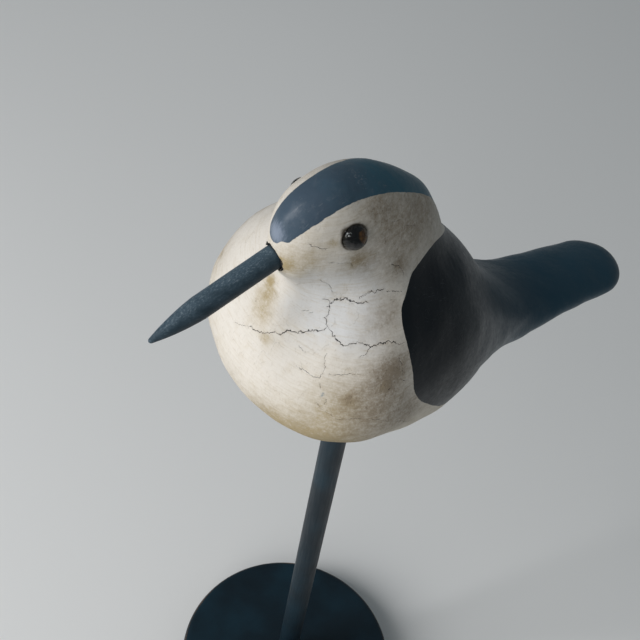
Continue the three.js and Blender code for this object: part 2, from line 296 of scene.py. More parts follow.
def dowel_tree():
    """A dowel along Z whose end is drawn to a rounded point, with a surface that is a little uneven."""
    tree = bpy.data.node_groups.new("dowel", "GeometryNodeTree")
    floats = ["Diameter", "Straight Length", "Point Length", "Tip Radius", "Unevenness", "Seed"]
    for name in floats:
        tree.interface.new_socket(name, in_out="INPUT", socket_type="NodeSocketFloat")
    for name in ["Sides", "Steps"]:
        tree.interface.new_socket(name, in_out="INPUT", socket_type="NodeSocketInt")
    tree.interface.new_socket("Paint", in_out="INPUT", socket_type="NodeSocketMaterial")
    tree.interface.new_socket("Geometry", in_out="OUTPUT", socket_type="NodeSocketGeometry")
    given = tree_node(tree, "NodeGroupInput").outputs

    def number(operation, first, second=0.0, clamp=False):
        inputs = {0: first, 1: second}
        return tree_node(tree, "ShaderNodeMath", inputs, operation=operation, use_clamp=clamp).outputs[0]

    total = number("ADD", given["Straight Length"], given["Point Length"])
    top = tree_node(tree, "ShaderNodeCombineXYZ", {"Z": total}).outputs[0]
    line = tree_node(tree, "GeometryNodeCurvePrimitiveLine", {"End": top}).outputs[0]
    line = tree_node(tree, "GeometryNodeResampleCurve", {"Curve": line, "Count": given["Steps"]}).outputs[0]
    length = tree_node(tree, "GeometryNodeSplineParameter").outputs["Length"]
    past = number("SUBTRACT", length, given["Straight Length"])
    past = number("DIVIDE", past, number("MAXIMUM", given["Point Length"], 1e-6), clamp=True)
    drawn_in = number("MULTIPLY", number("ADD", number("MULTIPLY", past, 0.65), 0.35), past)
    radius = number("MULTIPLY", given["Diameter"], 0.5)
    taper = number("MULTIPLY", number("SUBTRACT", radius, given["Tip Radius"]), drawn_in)
    radius = number("SUBTRACT", radius, taper)
    left = number("DIVIDE", number("SUBTRACT", total, length), given["Tip Radius"], clamp=True)
    missing = number("POWER", number("SUBTRACT", 1.0, left), 2.0)
    round_end = number("SQRT", number("MAXIMUM", number("SUBTRACT", 1.0, missing), 0.02))
    radius = number("MULTIPLY", radius, round_end)
    ring = tree_node(tree, "GeometryNodeCurvePrimitiveCircle", {"Resolution": given["Sides"], "Radius": 1.0})
    inputs = {"Curve": line, "Profile Curve": ring.outputs[0], "Scale": radius, "Fill Caps": True}
    dowel = tree_node(tree, "GeometryNodeCurveToMesh", inputs).outputs[0]
    spot = tree_node(tree, "GeometryNodeInputPosition").outputs[0]
    inputs = {0: spot, 1: (1.0, 1.0, 0.25)}
    spot = tree_node(tree, "ShaderNodeVectorMath", inputs, operation="MULTIPLY").outputs[0]
    inputs = {"Vector": spot, "W": given["Seed"], "Scale": 260.0, "Detail": 2.0}
    lumps = tree_node(tree, "ShaderNodeTexNoise", inputs, noise_dimensions="4D").outputs[0]
    height = number("MULTIPLY", number("SUBTRACT", lumps, 0.5), given["Unevenness"])
    normal = tree_node(tree, "GeometryNodeInputNormal").outputs[0]
    inputs = {0: normal, "Scale": height}
    offset = tree_node(tree, "ShaderNodeVectorMath", inputs, operation="SCALE").outputs[0]
    dowel = tree_node(tree, "GeometryNodeSetPosition", {"Geometry": dowel, "Offset": offset}).outputs[0]
    dowel = tree_node(tree, "GeometryNodeSetShadeSmooth", {"Geometry": dowel}).outputs[0]
    dowel = tree_node(tree, "GeometryNodeRealizeInstances", {"Geometry": dowel}).outputs[0]
    inputs = {"Geometry": dowel, "Material": given["Paint"]}
    dowel = tree_node(tree, "GeometryNodeSetMaterial", inputs).outputs[0]
    tree_node(tree, "NodeGroupOutput", {"Geometry": dowel})
    return tree


def grown(name, tree, values):
    """Runs a geometry tree with the named values and keeps its result as a plain mesh object."""
    carrier = bpy.data.objects.new(name, bpy.data.meshes.new(name))
    bpy.context.scene.collection.objects.link(carrier)
    modifier = carrier.modifiers.new("made", "NODES")
    modifier.node_group = tree
    for socket in tree.interface.items_tree:
        if socket.in_out == "INPUT" and socket.name in values:
            modifier[socket.identifier] = values[socket.name]
    bpy.context.view_layer.update()
    graph = bpy.context.evaluated_depsgraph_get()
    result = bpy.data.meshes.new_from_object(carrier.evaluated_get(graph), depsgraph=graph)
    carrier.modifiers.remove(modifier)
    carrier.data = result
    return carrier


dowel = dowel_tree()
rod_length = rod_high[2] - rod_low[2]
rod = grown("painted_rod", dowel, {
    "Diameter": 2 * rod_radius * MM,
    "Straight Length": (rod_length - 1) * MM,
    "Point Length": 1 * MM,
    "Tip Radius": (rod_radius - 0.8) * MM,
    "Unevenness": ROD_UNEVEN * MM,
    "Seed": 3.0,
    "Sides": ROD_SIDES,
    "Steps": round(rod_length / ROD_STEP),
    "Paint": stand_paint,
})
rod.data.transform(Matrix.Translation((0, 0, rod_low[2] * MM)))
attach(rod, "root")
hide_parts("stand_rod")

# Carved body
# One block of wood, carved as a plump breast that runs out into a flat tail, with an egg-shaped head that
# melts into the shoulders. It is painted cream, with a slate cap and a blue-black back and tail.
BODY_CENTRE = (19.6, 292.3)
BODY_RISE = math.radians(22.7)
BREAST_DEPTH = 30.8
BODY_TO_TAIL_TIP = 169.3
TAIL_ROUNDING = 16.0
STATION_PLACES = [0.0, 0.2, 0.38, 0.56, 0.76, 1.0]
STATION_HALF_WIDTHS = [41.0, 37.6, 27.0, 19.4, 15.4, 13.4]
STATION_ABOVE = [43.0, 38.9, 19.7, 4.0, 4.5, 8.3]
STATION_BELOW = [31.0, 33.5, 26.0, 18.0, 10.5, 4.7]
TAIL_SECTION_START = 0.3
TAIL_SECTION_END = 0.7
HEAD_CENTRE = (13.7, 338.0)
HEAD_RISE = math.radians(33)
HEAD_FRONT = 30.4
HEAD_BACK = 37.9
HEAD_HALF_WIDTH = 15.2
HEAD_HALF_HEIGHT = 20.6
NECK_BLEND = 11.5


def through_stations(values):
    """A smooth curve through the body's stations. It leaves the breast level and ends straight."""
    at = np.array(STATION_PLACES)
    value = np.array(values)
    step = np.diff(at)
    slope = np.diff(value) / step
    last = len(at) - 1
    system = np.eye(last + 1)
    known = np.zeros(last + 1)
    system[0, :2] = 2 * step[0], step[0]
    known[0] = 6 * slope[0]
    for i in range(1, last):
        system[i, i - 1:i + 2] = step[i - 1], 2 * (step[i - 1] + step[i]), step[i]
        known[i] = 6 * (slope[i] - slope[i - 1])
    bend = np.linalg.solve(system, known)

    def curve(along):
        i = np.clip(np.searchsorted(at, along, side="right") - 1, 0, last - 1)
        before = at[i + 1] - along
        after = along - at[i]
        h = step[i]
        straight = (value[i] * before + value[i + 1] * after) / h
        bow = bend[i] * (before ** 3 / h - h * before) + bend[i + 1] * (after ** 3 / h - h * after)
        return straight + bow / 6

    return curve


half_width_at = through_stations(STATION_HALF_WIDTHS)
above_at = through_stations(STATION_ABOVE)
below_at = through_stations(STATION_BELOW)


def egg_measure(*pairs):
    """Signed measure of an egg from pairs of distance and radius: about millimetres near its skin."""
    reach = np.sqrt(sum((d / r) ** 2 for d, r in pairs)) + 1e-6
    slope = np.sqrt(sum((d / r ** 2) ** 2 for d, r in pairs)) + 1e-6
    return reach * (reach - 1) / slope


def smooth(value, low, high):
    t = np.clip((value - low) / (high - low), 0, 1)
    return t * t * (3 - 2 * t)


def body_place(points):
    """How far along the body's axis each point is, from the breast station to the tail, and how far over it."""
    dx = points[..., 0] - BODY_CENTRE[0]
    dz = points[..., 2] - BODY_CENTRE[1]
    forward = dx * math.cos(BODY_RISE) + dz * math.sin(BODY_RISE)
    return forward, dz * math.cos(BODY_RISE) - dx * math.sin(BODY_RISE)


def body_measure(points):
    y = points[..., 1]
    forward, up = body_place(points)
    back = np.maximum(-forward, 0)
    along = np.minimum(back / BODY_TO_TAIL_TIP, 1)
    width = half_width_at(along)
    above = above_at(along)
    below = below_at(along)
    egg = egg_measure((np.maximum(forward, 0), BREAST_DEPTH), (y, width), (up, np.where(up > 0, above, below)))
    past = np.clip((back - BODY_TO_TAIL_TIP) / TAIL_ROUNDING + 1, 0, 1)
    plan = np.sqrt(np.maximum(1 - past ** 2.4, 1e-4))
    side = np.sqrt(np.maximum(1 - past ** 4, 1e-4))
    flat = egg_measure((y, width * plan), (up - (above - below) / 2, (above + below) / 2 * side))
    to_tail = smooth(along, TAIL_SECTION_START, TAIL_SECTION_END)
    return egg * (1 - to_tail) + flat * to_tail + np.maximum(back - BODY_TO_TAIL_TIP, 0)


def head_measure(points):
    dx = points[..., 0] - HEAD_CENTRE[0]
    dz = points[..., 2] - HEAD_CENTRE[1]
    forward = dx * math.cos(HEAD_RISE) + dz * math.sin(HEAD_RISE)
    up = dz * math.cos(HEAD_RISE) - dx * math.sin(HEAD_RISE)
    reach = np.where(forward > 0, HEAD_FRONT, HEAD_BACK)
    return egg_measure((forward, reach), (points[..., 1], HEAD_HALF_WIDTH), (up, HEAD_HALF_HEIGHT))


def neck_mix(points):
    """0 on the head, 1 on the body, and between them in the crease of the neck."""
    return np.clip(0.5 + (head_measure(points) - body_measure(points)) / (2 * NECK_BLEND), 0, 1)


def carved_measure(points):
    body = body_measure(points)
    head = head_measure(points)
    mix = np.clip(0.5 + (head - body) / (2 * NECK_BLEND), 0, 1)
    return head * (1 - mix) + body * mix - NECK_BLEND * mix * (1 - mix)


def skin_between(measure, inside, outside):
    """Where the skin lies between places inside the wood and places outside it."""
    low = np.array(inside, float)
    high = np.array(outside, float)
    for _ in range(26):
        middle = (low + high) / 2
        within = measure(middle) < 0
        low = np.where(within, middle, low)
        high = np.where(within, high, middle)
    return (low + high) / 2


def skin_normals(points):
    shift = np.eye(3) * 0.02
    rise = [carved_measure(points + s) - carved_measure(points - s) for s in shift]
    normals = np.stack(rise, -1)
    return normals / np.linalg.norm(normals, axis=-1, keepdims=True)


def onto_skin(points, rounds=4):
    """The points moved square to the skin until they lie on it."""
    for _ in range(rounds):
        points = points - skin_normals(points) * carved_measure(points)[..., None]
    return points


# The carved surface as rings of points, square to the axis behind the rump and fanned out over the back
RINGS_ROUND_TAIL_TIP = 16
RINGS_ALONG_TAIL = 76
RINGS_OVER_BODY = 160
POINTS_PER_RING = 160
FAN_START = 0.36
FAN_HEIGHT = 80.0
MEDIAN_STEP = 0.5
axis_forward = np.array([math.cos(BODY_RISE), math.sin(BODY_RISE)])
axis_up = np.array([-math.sin(BODY_RISE), math.cos(BODY_RISE)])


def square_lines(along):
    back = np.asarray(along)[:, None] * BODY_TO_TAIL_TIP
    starts = np.array(BODY_CENTRE) - back * axis_forward + FAN_HEIGHT * axis_up
    return starts, np.repeat(-axis_up[None], len(starts), 0)


fan_centre = square_lines([FAN_START])[0][0]


def fan_lines(angles):
    headings = np.stack([np.cos(angles), np.sin(angles)], 1)
    return np.repeat(fan_centre[None], len(headings), 0), headings


def chords(starts, headings):
    """Where lines of the median plane enter and leave the wood, and whether they meet it at all."""
    def measure(s):
        x = starts[:, 0] + s * headings[:, 0]
        z = starts[:, 1] + s * headings[:, 1]
        return carved_measure(np.stack([x, np.zeros_like(x), z], -1))

    steps = np.arange(0, 190, MEDIAN_STEP)
    samples = np.stack([measure(np.full(len(starts), s)) for s in steps])
    deepest = steps[samples.argmin(0)]
    near = skin_between(measure, deepest, np.zeros(len(starts)))
    far = skin_between(measure, deepest, np.full(len(starts), 190.0))
    return near, far, samples.min(0) < 0


def last_fan_angle():
    hits = 0.0
    misses = math.radians(60)
    for _ in range(24):
        middle = (hits + misses) / 2
        if chords(*fan_lines(np.array([middle])))[2][0]:
            hits = middle
        else:
            misses = middle
    return hits


def carved_rings():
    tip_start = 1 - TAIL_ROUNDING / BODY_TO_TAIL_TIP
    t = np.sin(np.arange(1, RINGS_ROUND_TAIL_TIP) / RINGS_ROUND_TAIL_TIP * np.pi / 2)
    tip = 1 - (1 - np.sqrt(1 - t * t)) * (1 - tip_start)
    tail = tip_start + np.arange(RINGS_ALONG_TAIL) / RINGS_ALONG_TAIL * (FAN_START - tip_start)
    turn = np.arange(RINGS_OVER_BODY) / RINGS_OVER_BODY
    eased = np.sin(turn * np.pi / 2) * 0.6 + (1 - (1 - turn) ** 2) * 0.4
    fan_first = BODY_RISE - np.pi / 2
    fan_last = last_fan_angle()
    behind = square_lines(np.concatenate([tip, tail]))
    front = fan_lines(fan_first + (fan_last - fan_first) * eased)
    starts = np.concatenate([behind[0], front[0]])
    headings = np.concatenate([behind[1], front[1]])
    near, far, _ = chords(starts, headings)
    middle = starts + headings * ((near + far) / 2)[:, None]
    centres = np.stack([middle[:, 0], np.zeros(len(middle)), middle[:, 1]], -1)
    side = np.array([0.0, 1.0, 0.0])
    half_widths = skin_between(
        lambda y: carved_measure(centres + y[:, None] * side), np.zeros(len(centres)), np.full(len(centres), 60.0)
    )
    turns = np.arange(POINTS_PER_RING) / POINTS_PER_RING * 2 * np.pi
    down = ((far - near) / 2)[:, None] * np.cos(turns)
    across = half_widths[:, None] * np.sin(turns)
    spokes = np.stack([down * headings[:, :1], across, down * headings[:, 1:]], -1)
    reach = skin_between(
        lambda k: carved_measure(centres[:, None] + k[..., None] * spokes),
        np.zeros(down.shape), np.full(down.shape, 2.0)
    )
    rings = centres[:, None] + reach[..., None] * spokes
    tip_up = (above_at(1.0) - below_at(1.0)) / 2
    tip_line = square_lines([1.0])
    tip_place = tip_line[0][0] + (FAN_HEIGHT - tip_up) * tip_line[1][0]
    near, far, _ = chords(*fan_lines(np.array([fan_last])))
    crown_place = fan_centre + (near[0] + far[0]) / 2 * np.array([math.cos(fan_last), math.sin(fan_last)])
    ends = [[tip_place[0], 0, tip_place[1]], [crown_place[0], 0, crown_place[1]]]
    return rings, np.array(ends)


rings, ring_ends = carved_rings()
ring_count = len(rings)
body_points = np.concatenate([rings.reshape(-1, 3), ring_ends])
tip_index = ring_count * POINTS_PER_RING
around = np.arange(POINTS_PER_RING)
around_next = (around + 1) % POINTS_PER_RING
body_faces = [np.stack([np.full(POINTS_PER_RING, tip_index), around_next, around], 1)]
for k in range(ring_count - 1):
    here = k * POINTS_PER_RING
    there = here + POINTS_PER_RING
    body_faces.append(np.stack([here + around, here + around_next, there + around_next], 1))
    body_faces.append(np.stack([here + around, there + around_next, there + around], 1))
last_ring = (ring_count - 1) * POINTS_PER_RING
crown = np.full(POINTS_PER_RING, tip_index + 1)
body_faces.append(np.stack([crown, last_ring + around, last_ring + around_next], 1))
body_faces = np.concatenate(body_faces)

# Cracks in the paint and the wood under it, each followed through pixels of the picture. The first
# number is the width in millimetres.
CRACKS = {
    "breast_far": (0.10, [(235, 322), (241, 325), (248, 326)]),
    "breast_main": (0.22, [
        (248, 326), (252, 328), (257.5, 331.2), (262, 333.6), (266.5, 334), (271.6, 332.6), (277, 333),
        (281, 335), (285, 332), (293, 331.5), (299, 331.8), (305, 331.5), (313, 330.4), (323, 330), (329, 327.8),
    ]),
    "main_twin": (0.12, [(297, 333.3), (300.5, 333.6), (302, 332.2)]),
    "rising": (0.13, [(329, 327.5), (326, 324.5), (326.4, 320), (324, 317.5), (329, 314.5), (329.5, 308.5)]),
    "rising_top": (0.18, [(329.5, 308.5), (329.6, 303.2), (332, 303.4)]),
    "rising_fork": (0.12, [(326.5, 306.6), (329.4, 307.2)]),
    "rising_twig": (0.10, [(321, 299.3), (325.5, 299.3), (328.8, 300.3), (329.6, 303.2)]),
    "upper": (0.20, [
        (330.5, 303.4), (334, 300.5), (337.4, 298.8), (341, 300.2), (344.6, 298.2), (349, 300.3), (353, 301),
        (357.4, 303.5), (362, 303), (365, 301.4), (368.6, 303),
    ]),
    "upper_twin": (0.18, [(369, 293), (371.6, 290.4), (375, 292.8), (378.4, 290.2), (382, 289.9), (385.8, 288.7)]),
    "upper_dash": (0.14, [(387, 291), (391, 291.3)]),
    "upper_end": (0.16, [(392.6, 290.8), (396, 291.4), (399, 291), (403, 292.4)]),
    "lower": (0.21, [
        (329, 328.5), (331.6, 331.4), (335, 336), (338, 341), (341, 344.6), (346, 345.6), (350, 343.8),
        (356, 343.6), (362, 343.2), (367.5, 344.6), (372, 346.8), (377, 345), (381, 343.4), (386, 342.6),
        (390, 341.8), (393.6, 341.2), (396, 343), (399, 343.6),
    ]),
    "lower_end": (0.16, [(397.5, 345.4), (401, 344), (405, 342.2)]),
    "lower_twig": (0.12, [(371.6, 347), (368, 350), (366.8, 353.6), (363, 355.8), (359, 357)]),
    "falling": (0.12, [
        (327.4, 352.6), (324.6, 357.5), (325, 366), (321, 375), (320, 378), (312.5, 376.2), (307.5, 372.5),
        (300, 368.8), (294, 365),
    ]),
    "small_left": (0.10, [(298.8, 345), (302, 350), (305.5, 352.6)]),
    "straight_hair": (0.12, [(327, 374), (344, 374.5), (362, 374)]),
    "below_hair": (0.10, [(320, 382.5), (320.5, 388.8)]),
    "blue_spot_twig": (0.10, [(326, 398.6), (326.4, 401), (323.6, 405)]),
    "low_left": (0.11, [(316, 402.5), (321, 408.8), (330, 413.8), (336, 419.4)]),
    "low_right": (0.09, [(336, 419.4), (355, 418), (380, 418.8), (400, 420), (420, 420)]),
    "face": (0.13, [(309, 244), (313, 247), (317, 247), (322, 249), (329, 249)]),
    "cheek_low": (0.11, [(328, 263), (342, 263), (351, 263), (353, 267)]),
    "cheek_rear": (0.10, [(392, 222), (397, 221), (401, 219)]),
    "cheek_rear_low": (0.09, [(405, 225), (411, 226), (416, 225)]),
    "wing_corner": (0.15, [(391, 264), (395, 266), (400, 267), (403, 272), (404, 280)]),
    "throat": (0.10, [(320, 279), (328, 284), (331.6, 288), (332.4, 293)]),
    "throat_arc": (0.07, [(296, 284.5), (302, 281.5), (314, 280)]),
    "dash_high": (0.08, [(303, 310.5), (309, 310.8)]),
    "dash_low": (0.08, [(309, 312.9), (313.6, 312.5)]),
    "by_wing": (0.15, [(398.8, 357.5), (402.5, 365), (403, 375)]),
    "by_wing_low": (0.14, [(397.4, 378.8), (402, 379.4), (406.4, 380.6)]),
    "pit_by_wing": (0.15, [(388.4, 389.8), (390.2, 389.0), (392, 388.2)]),
}
# Short slanted hatches lead up to the upper twin crack
HATCHES = 7
HATCH_FIRST = (359.6, 298.6)
HATCH_SPACING = (1.75, -1.0)
HATCH_REACH = (1.5, -2.7)
for k in range(HATCHES):
    foot_x, foot_y = (first + k * gap for first, gap in zip(HATCH_FIRST, HATCH_SPACING))
    stroke = [(foot_x, foot_y), (foot_x + HATCH_REACH[0], foot_y + HATCH_REACH[1])]
    CRACKS[f"hatch_{k}"] = (0.11, stroke)
CRACK_DEPTH = 0.28
CRACK_WANDER = 0.25
CRACK_WANDER_WIDTH = 0.20
CRACK_LONGEST_WANDER = 0.8
CRACK_REACH = 1.0
CRACK_NEIGHBOURS = 6
chance = np.random.default_rng(7)


def seen_on_skin(pixels):
    """Where the camera's lines of sight through pixels first meet the carved surface."""
    directions = np.array([sight(pixel) for pixel in pixels])
    distances = np.arange(280.0, 700.0, 1.0)
    points = CAMERA_PLACE + directions[:, None] * distances[None, :, None]
    inside = carved_measure(points) < 0
    first = np.maximum(inside.argmax(1), 1)
    before = distances[first - 1]
    after = distances[first]
    met = skin_between(lambda d: carved_measure(CAMERA_PLACE + d[:, None] * directions), after, before)
    return CAMERA_PLACE + met[:, None] * directions


def wandering(points, amount, rounds=4):
    """A line through points of the skin, with finer and finer kinks between them."""
    for _ in range(rounds):
        gaps = np.linalg.norm(np.diff(points, axis=0), axis=1, keepdims=True)
        middles = (points[1:] + points[:-1]) / 2
        kinks = chance.normal(0, amount, middles.shape)
        middles = middles + kinks * np.minimum(gaps, CRACK_LONGEST_WANDER)
        mixed = np.empty((len(points) * 2 - 1, points.shape[1]))
        mixed[::2] = points
        mixed[1::2] = middles
        points = mixed
    return onto_skin(points)


crack_starts = []
crack_ends = []
crack_widths = []
for width, pixels in CRACKS.values():
    line = wandering(seen_on_skin(pixels), CRACK_WANDER * min(1, width / CRACK_WANDER_WIDTH))
    share_along = np.linspace(0, 1, len(line))
    taper = np.clip(np.minimum(share_along, 1 - share_along) * 9 + 0.25, 0, 1)
    knots = max(4, len(pixels) * 3)
    uneven = 0.25 + 1.05 * np.interp(share_along, np.linspace(0, 1, knots), chance.random(knots))
    crack_starts.append(line[:-1])
    crack_ends.append(line[1:])
    crack_widths.append((width * taper * uneven)[1:])
crack_starts = np.concatenate(crack_starts)
crack_ends = np.concatenate(crack_ends)
crack_widths = np.concatenate(crack_widths)
crack_low = crack_starts.min(0) - CRACK_REACH
crack_high = crack_starts.max(0) + CRACK_REACH


crack_tree = KDTree(len(crack_starts))
for i, middle in enumerate((crack_starts + crack_ends) / 2):
    crack_tree.insert(middle, i)
crack_tree.balance()


def near_cracks(points):
    """Distance to the nearest crack in millimetres, up to CRACK_REACH, and that crack's width there."""
    distance = np.full(len(points), CRACK_REACH)
    width = np.full(len(points), 0.1)
    boxed = np.flatnonzero(((points > crack_low) & (points < crack_high)).all(1))
    found = [[i for _, i, _ in crack_tree.find_n(point, CRACK_NEIGHBOURS)] for point in points[boxed]]
    found = np.array(found)
    along = (crack_ends - crack_starts)[found]
    offset = points[boxed][:, None] - crack_starts[found]
    t = np.clip((offset * along).sum(-1) / (along ** 2).sum(-1), 0, 1)
    away = np.linalg.norm(offset - t[..., None] * along, axis=-1)
    rows = np.arange(len(boxed))
    nearest = (away - crack_widths[found] / 2).argmin(1)
    distance[boxed] = np.minimum(away[rows, nearest], CRACK_REACH)
    width[boxed] = crack_widths[found][rows, nearest]
    return distance, width


# The finest part of the mesh lies along the cracks and round the holes for the bill and the eyes
CRACK_STEPS = [0.95, 0.55, 0.30, 0.17]
HOLE_STEPS = [1.3, 0.8, 0.45, 0.0]
eye_boxes = {side: np.array(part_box(f"{side}_eye")) / MM for side in ("left", "right")}
eye_centres = {side: box.mean(0) for side, box in eye_boxes.items()}
eye_radius = np.ptp(eye_boxes["left"][:, 2]) / 2
BILL_BASE = np.array([41.4, 0.0, 339.9])
BILL_DROP = math.radians(15)
bill_direction = np.array([math.cos(BILL_DROP), 0.0, -math.sin(BILL_DROP)])
BILL_DIAMETER = 7.2


def hole_distance(points):
    """Distance from the rims of the holes for the bill and the eyes."""
    offset = points - BILL_BASE
    out = np.linalg.norm(offset - (offset @ bill_direction)[:, None] * bill_direction, axis=1)
    bill = np.where(points[:, 0] > 25, np.abs(out - BILL_DIAMETER / 2), 9.0)
    eyes = [np.abs(np.linalg.norm(points - c, axis=1) - eye_radius) for c in eye_centres.values()]
    return np.minimum(bill, np.minimum(*eyes))


body = mesh_of("painted_body", body_points, body_faces)
shaper = bmesh.new()
shaper.from_mesh(body.data)
for crack_step, hole_step in zip(CRACK_STEPS, HOLE_STEPS):
    shaper.verts.ensure_lookup_table()
    shaper.verts.index_update()
    points = np.array([v.co for v in shaper.verts]) / MM
    close = (near_cracks(points)[0] < crack_step) | (hole_distance(points) < hole_step)
    edges = [e for e in shaper.edges if close[e.verts[0].index] or close[e.verts[1].index]]
    bmesh.ops.subdivide_edges(shaper, edges=edges, cuts=1, use_grid_fill=True)
    bmesh.ops.triangulate(shaper, faces=[f for f in shaper.faces if len(f.verts) > 3])
shaper.to_mesh(body.data)
shaper.free()

# Relief: the knife left the surface a little uneven, and the cracks stand open between raised edges
CARVING_UNEVEN = 0.16
CARVING_SIZE = 17.0
BRUSH_UNEVEN = 0.02
CRACK_LIP = 0.018
SWELLINGS_BY_THE_BILL = {
    "chin": (2.4, 6.0, (39.5, 4.0, 336.0)),
    "collar": (0.5, 2.8, (41.0, 3.8, 341.2)),
    "ragged_lip": (1.1, 1.3, (40.9, -3.2, 341.6)),
}


def waves(points, size, seed, count=24):
    """Smooth random unevenness from -1 to 1 with hollows about as far apart as the given size."""
    random = np.random.default_rng(seed)
    headings = random.normal(size=(count, 3))
    headings /= np.linalg.norm(headings, axis=1, keepdims=True)
    lengths = 2 * np.pi / size * random.uniform(0.6, 1.5, (count, 1))
    phases = random.uniform(0, 2 * np.pi, count)
    return np.cos(points @ (headings * lengths).T + phases).sum(1) / math.sqrt(count)


def crack_share(points):
    """1 in the middle of a crack, and 0 outside it."""
    distance, width = near_cracks(points)
    return smooth(distance, width * 0.62, width * 0.18)


skin = onto_skin(np.array([v.co for v in body.data.vertices]) / MM)
crack_distance, crack_width = near_cracks(skin)
lips = np.exp(-((crack_distance - crack_width * 0.8) / (crack_width * 0.45)) ** 2) * (crack_distance < 0.9)
relief = CARVING_UNEVEN * waves(skin, CARVING_SIZE, 11) + BRUSH_UNEVEN * waves(skin, 3.1, 12)
relief += CRACK_LIP * lips * (crack_width > 0.17)
for rise, reach, middle in SWELLINGS_BY_THE_BILL.values():
    relief += rise * np.exp(-((skin - middle) ** 2).sum(1) / reach ** 2)
relief -= CRACK_DEPTH * crack_share(skin) * np.clip(crack_width / 0.26, 0.3, 1)
carved = skin + skin_normals(skin) * relief[:, None]
body.data.vertices.foreach_set("co", (carved * MM).astype(np.float32).ravel())
body.data.update()

# Holes for the bill, the eyes and the rod, drilled after the carving. The bill's hole is a little ragged.
BILL_IN_HEAD = 9.0
HOLE_ROOM = 0.3
EYE_ROOM = 0.05
ROD_HOLE_DEPTH = 20.0


def drilled(name, start, direction, depth_profile, sides, ragged=0.0):
    """A cutter along a line, from pairs of distance and radius, with a ragged rim where it starts."""
    cutter = lathe(name, [(0, depth_profile[0][1]), *depth_profile, (0, depth_profile[-1][1])], sides)
    points = np.array([v.co for v in cutter.data.vertices]) / MM
    turn = np.arctan2(points[:, 1], points[:, 0])
    chips = sum(np.cos(turn * n + n * n) / math.sqrt(n) for n in (2, 3, 5, 8, 13, 21)) / 2.2
    chips = np.maximum(chips, -0.6)
    grow = 1 + ragged * chips * smooth(points[:, 2], -2.0, 0.5) / max(depth_profile[1][0], 1)
    points[:, :2] *= grow[:, None]
    turned = Vector((0, 0, 1)).rotation_difference(Vector(direction)).to_matrix()
    points = points @ np.array(turned).T + start
    cutter.data.vertices.foreach_set("co", (points * MM).astype(np.float32).ravel())
    return cutter


bill_radius = BILL_DIAMETER / 2
belly = skin_between(
    lambda z: carved_measure(np.stack([0 * z, 0 * z, z], -1)), np.array([BODY_CENTRE[1]]), np.array([118.0])
)[0]
cutters = [
    drilled("bill_hole", BILL_BASE, bill_direction, [
        (bill_radius + HOLE_ROOM, -BILL_IN_HEAD - HOLE_ROOM),
        (bill_radius + HOLE_ROOM, -2.5),
        (bill_radius + 0.35, -1.2),
        (bill_radius + 0.5, 0.0),
        (bill_radius + 0.8, 8.0),
    ], 128, ragged=0.7),
    drilled("rod_hole", np.array([0, 0, belly]), (0, 0, -1), [
        (rod_radius + HOLE_ROOM, -ROD_HOLE_DEPTH - HOLE_ROOM),
        (rod_radius + HOLE_ROOM, -1.0),
        (rod_radius + HOLE_ROOM + 0.3, 20.0),
    ], 64),
]
for side, centre in eye_centres.items():
    arc = np.linspace(-np.pi / 2, np.pi / 2, 26)[1:-1]
    pole = eye_radius + EYE_ROOM
    ball = [(pole * math.cos(a), pole * math.sin(a)) for a in arc]
    socket = lathe(f"{side}_socket", [(0, -pole), *ball, (0, pole)], 48)
    socket.data.transform(Matrix.Translation(Vector(centre * MM)))
    cutters.append(socket)

for cutter in cutters:
    cut = body.modifiers.new("cut", "BOOLEAN")
    cut.operation = "DIFFERENCE"
    cut.solver = "MANIFOLD"
    cut.object = cutter
bpy.context.view_layer.update()
graph = bpy.context.evaluated_depsgraph_get()
drilled_mesh = bpy.data.meshes.new_from_object(body.evaluated_get(graph), depsgraph=graph)
body.modifiers.clear()
body.data = drilled_mesh
for cutter in cutters:
    bpy.data.objects.remove(cutter)
body.data.shade_smooth()
body.data.set_sharp_from_angle(angle=math.radians(52))

# Where each colour of paint lies, as distances in millimetres from its edge, negative inside it. The cap is
# a leaf along the top of the head, by the angle round the head's centre and its half width there.
CAP_ANGLES = np.radians([15, 17, 23, 33, 43, 54, 63, 73, 85, 98, 115, 136, 154, 171, 190, 203, 210])
CAP_LEFT = [-2.5, 0.6, 4.2, 6.0, 7.1, 7.5, 7.6, 7.8, 7.8, 7.8, 7.6, 7.3, 6.6, 5.7, 3.3, 1.0, -2.5]
CAP_RIGHT = [-2.5, 3.0, 4.6, 4.9, 4.9, 5.0, 5.2, 5.8, 6.6, 7.4, 7.6, 7.3, 6.6, 5.7, 3.3, 1.0, -2.5]
# The edge of the dark back and wings: over the back behind the head, then down the wing's front as the
# picture shows it, then along the side below the wing
WING_FRONT = [
    (445, 229), (437, 240), (428.6, 250), (417, 265.7), (411.4, 274.3), (406.6, 292), (403, 303), (401.7, 312),
    (403.6, 330), (409.6, 353.5), (413.5, 373), (414.5, 391), (421, 401), (431, 405), (437, 406),
]
BACK_START = (-29.0, 0.0, 313.0)
WING_UNDERSIDE = [(-6.0, 37.5, 273.0)]
BACK_BEYOND = [(-9.0, 100.0), (-200.0, 100.0), (-200.0, 330.0), (-30.0, 330.0)]
UNDERSIDE_LINE = [
    (-110, 215), (-96, 226), (-86, 234), (-76, 240.5), (-66, 245), (-54, 250), (-38, 257.3), (-22, 265.3),
    (-9, 273.3), (0, 281), (14, 294),
]


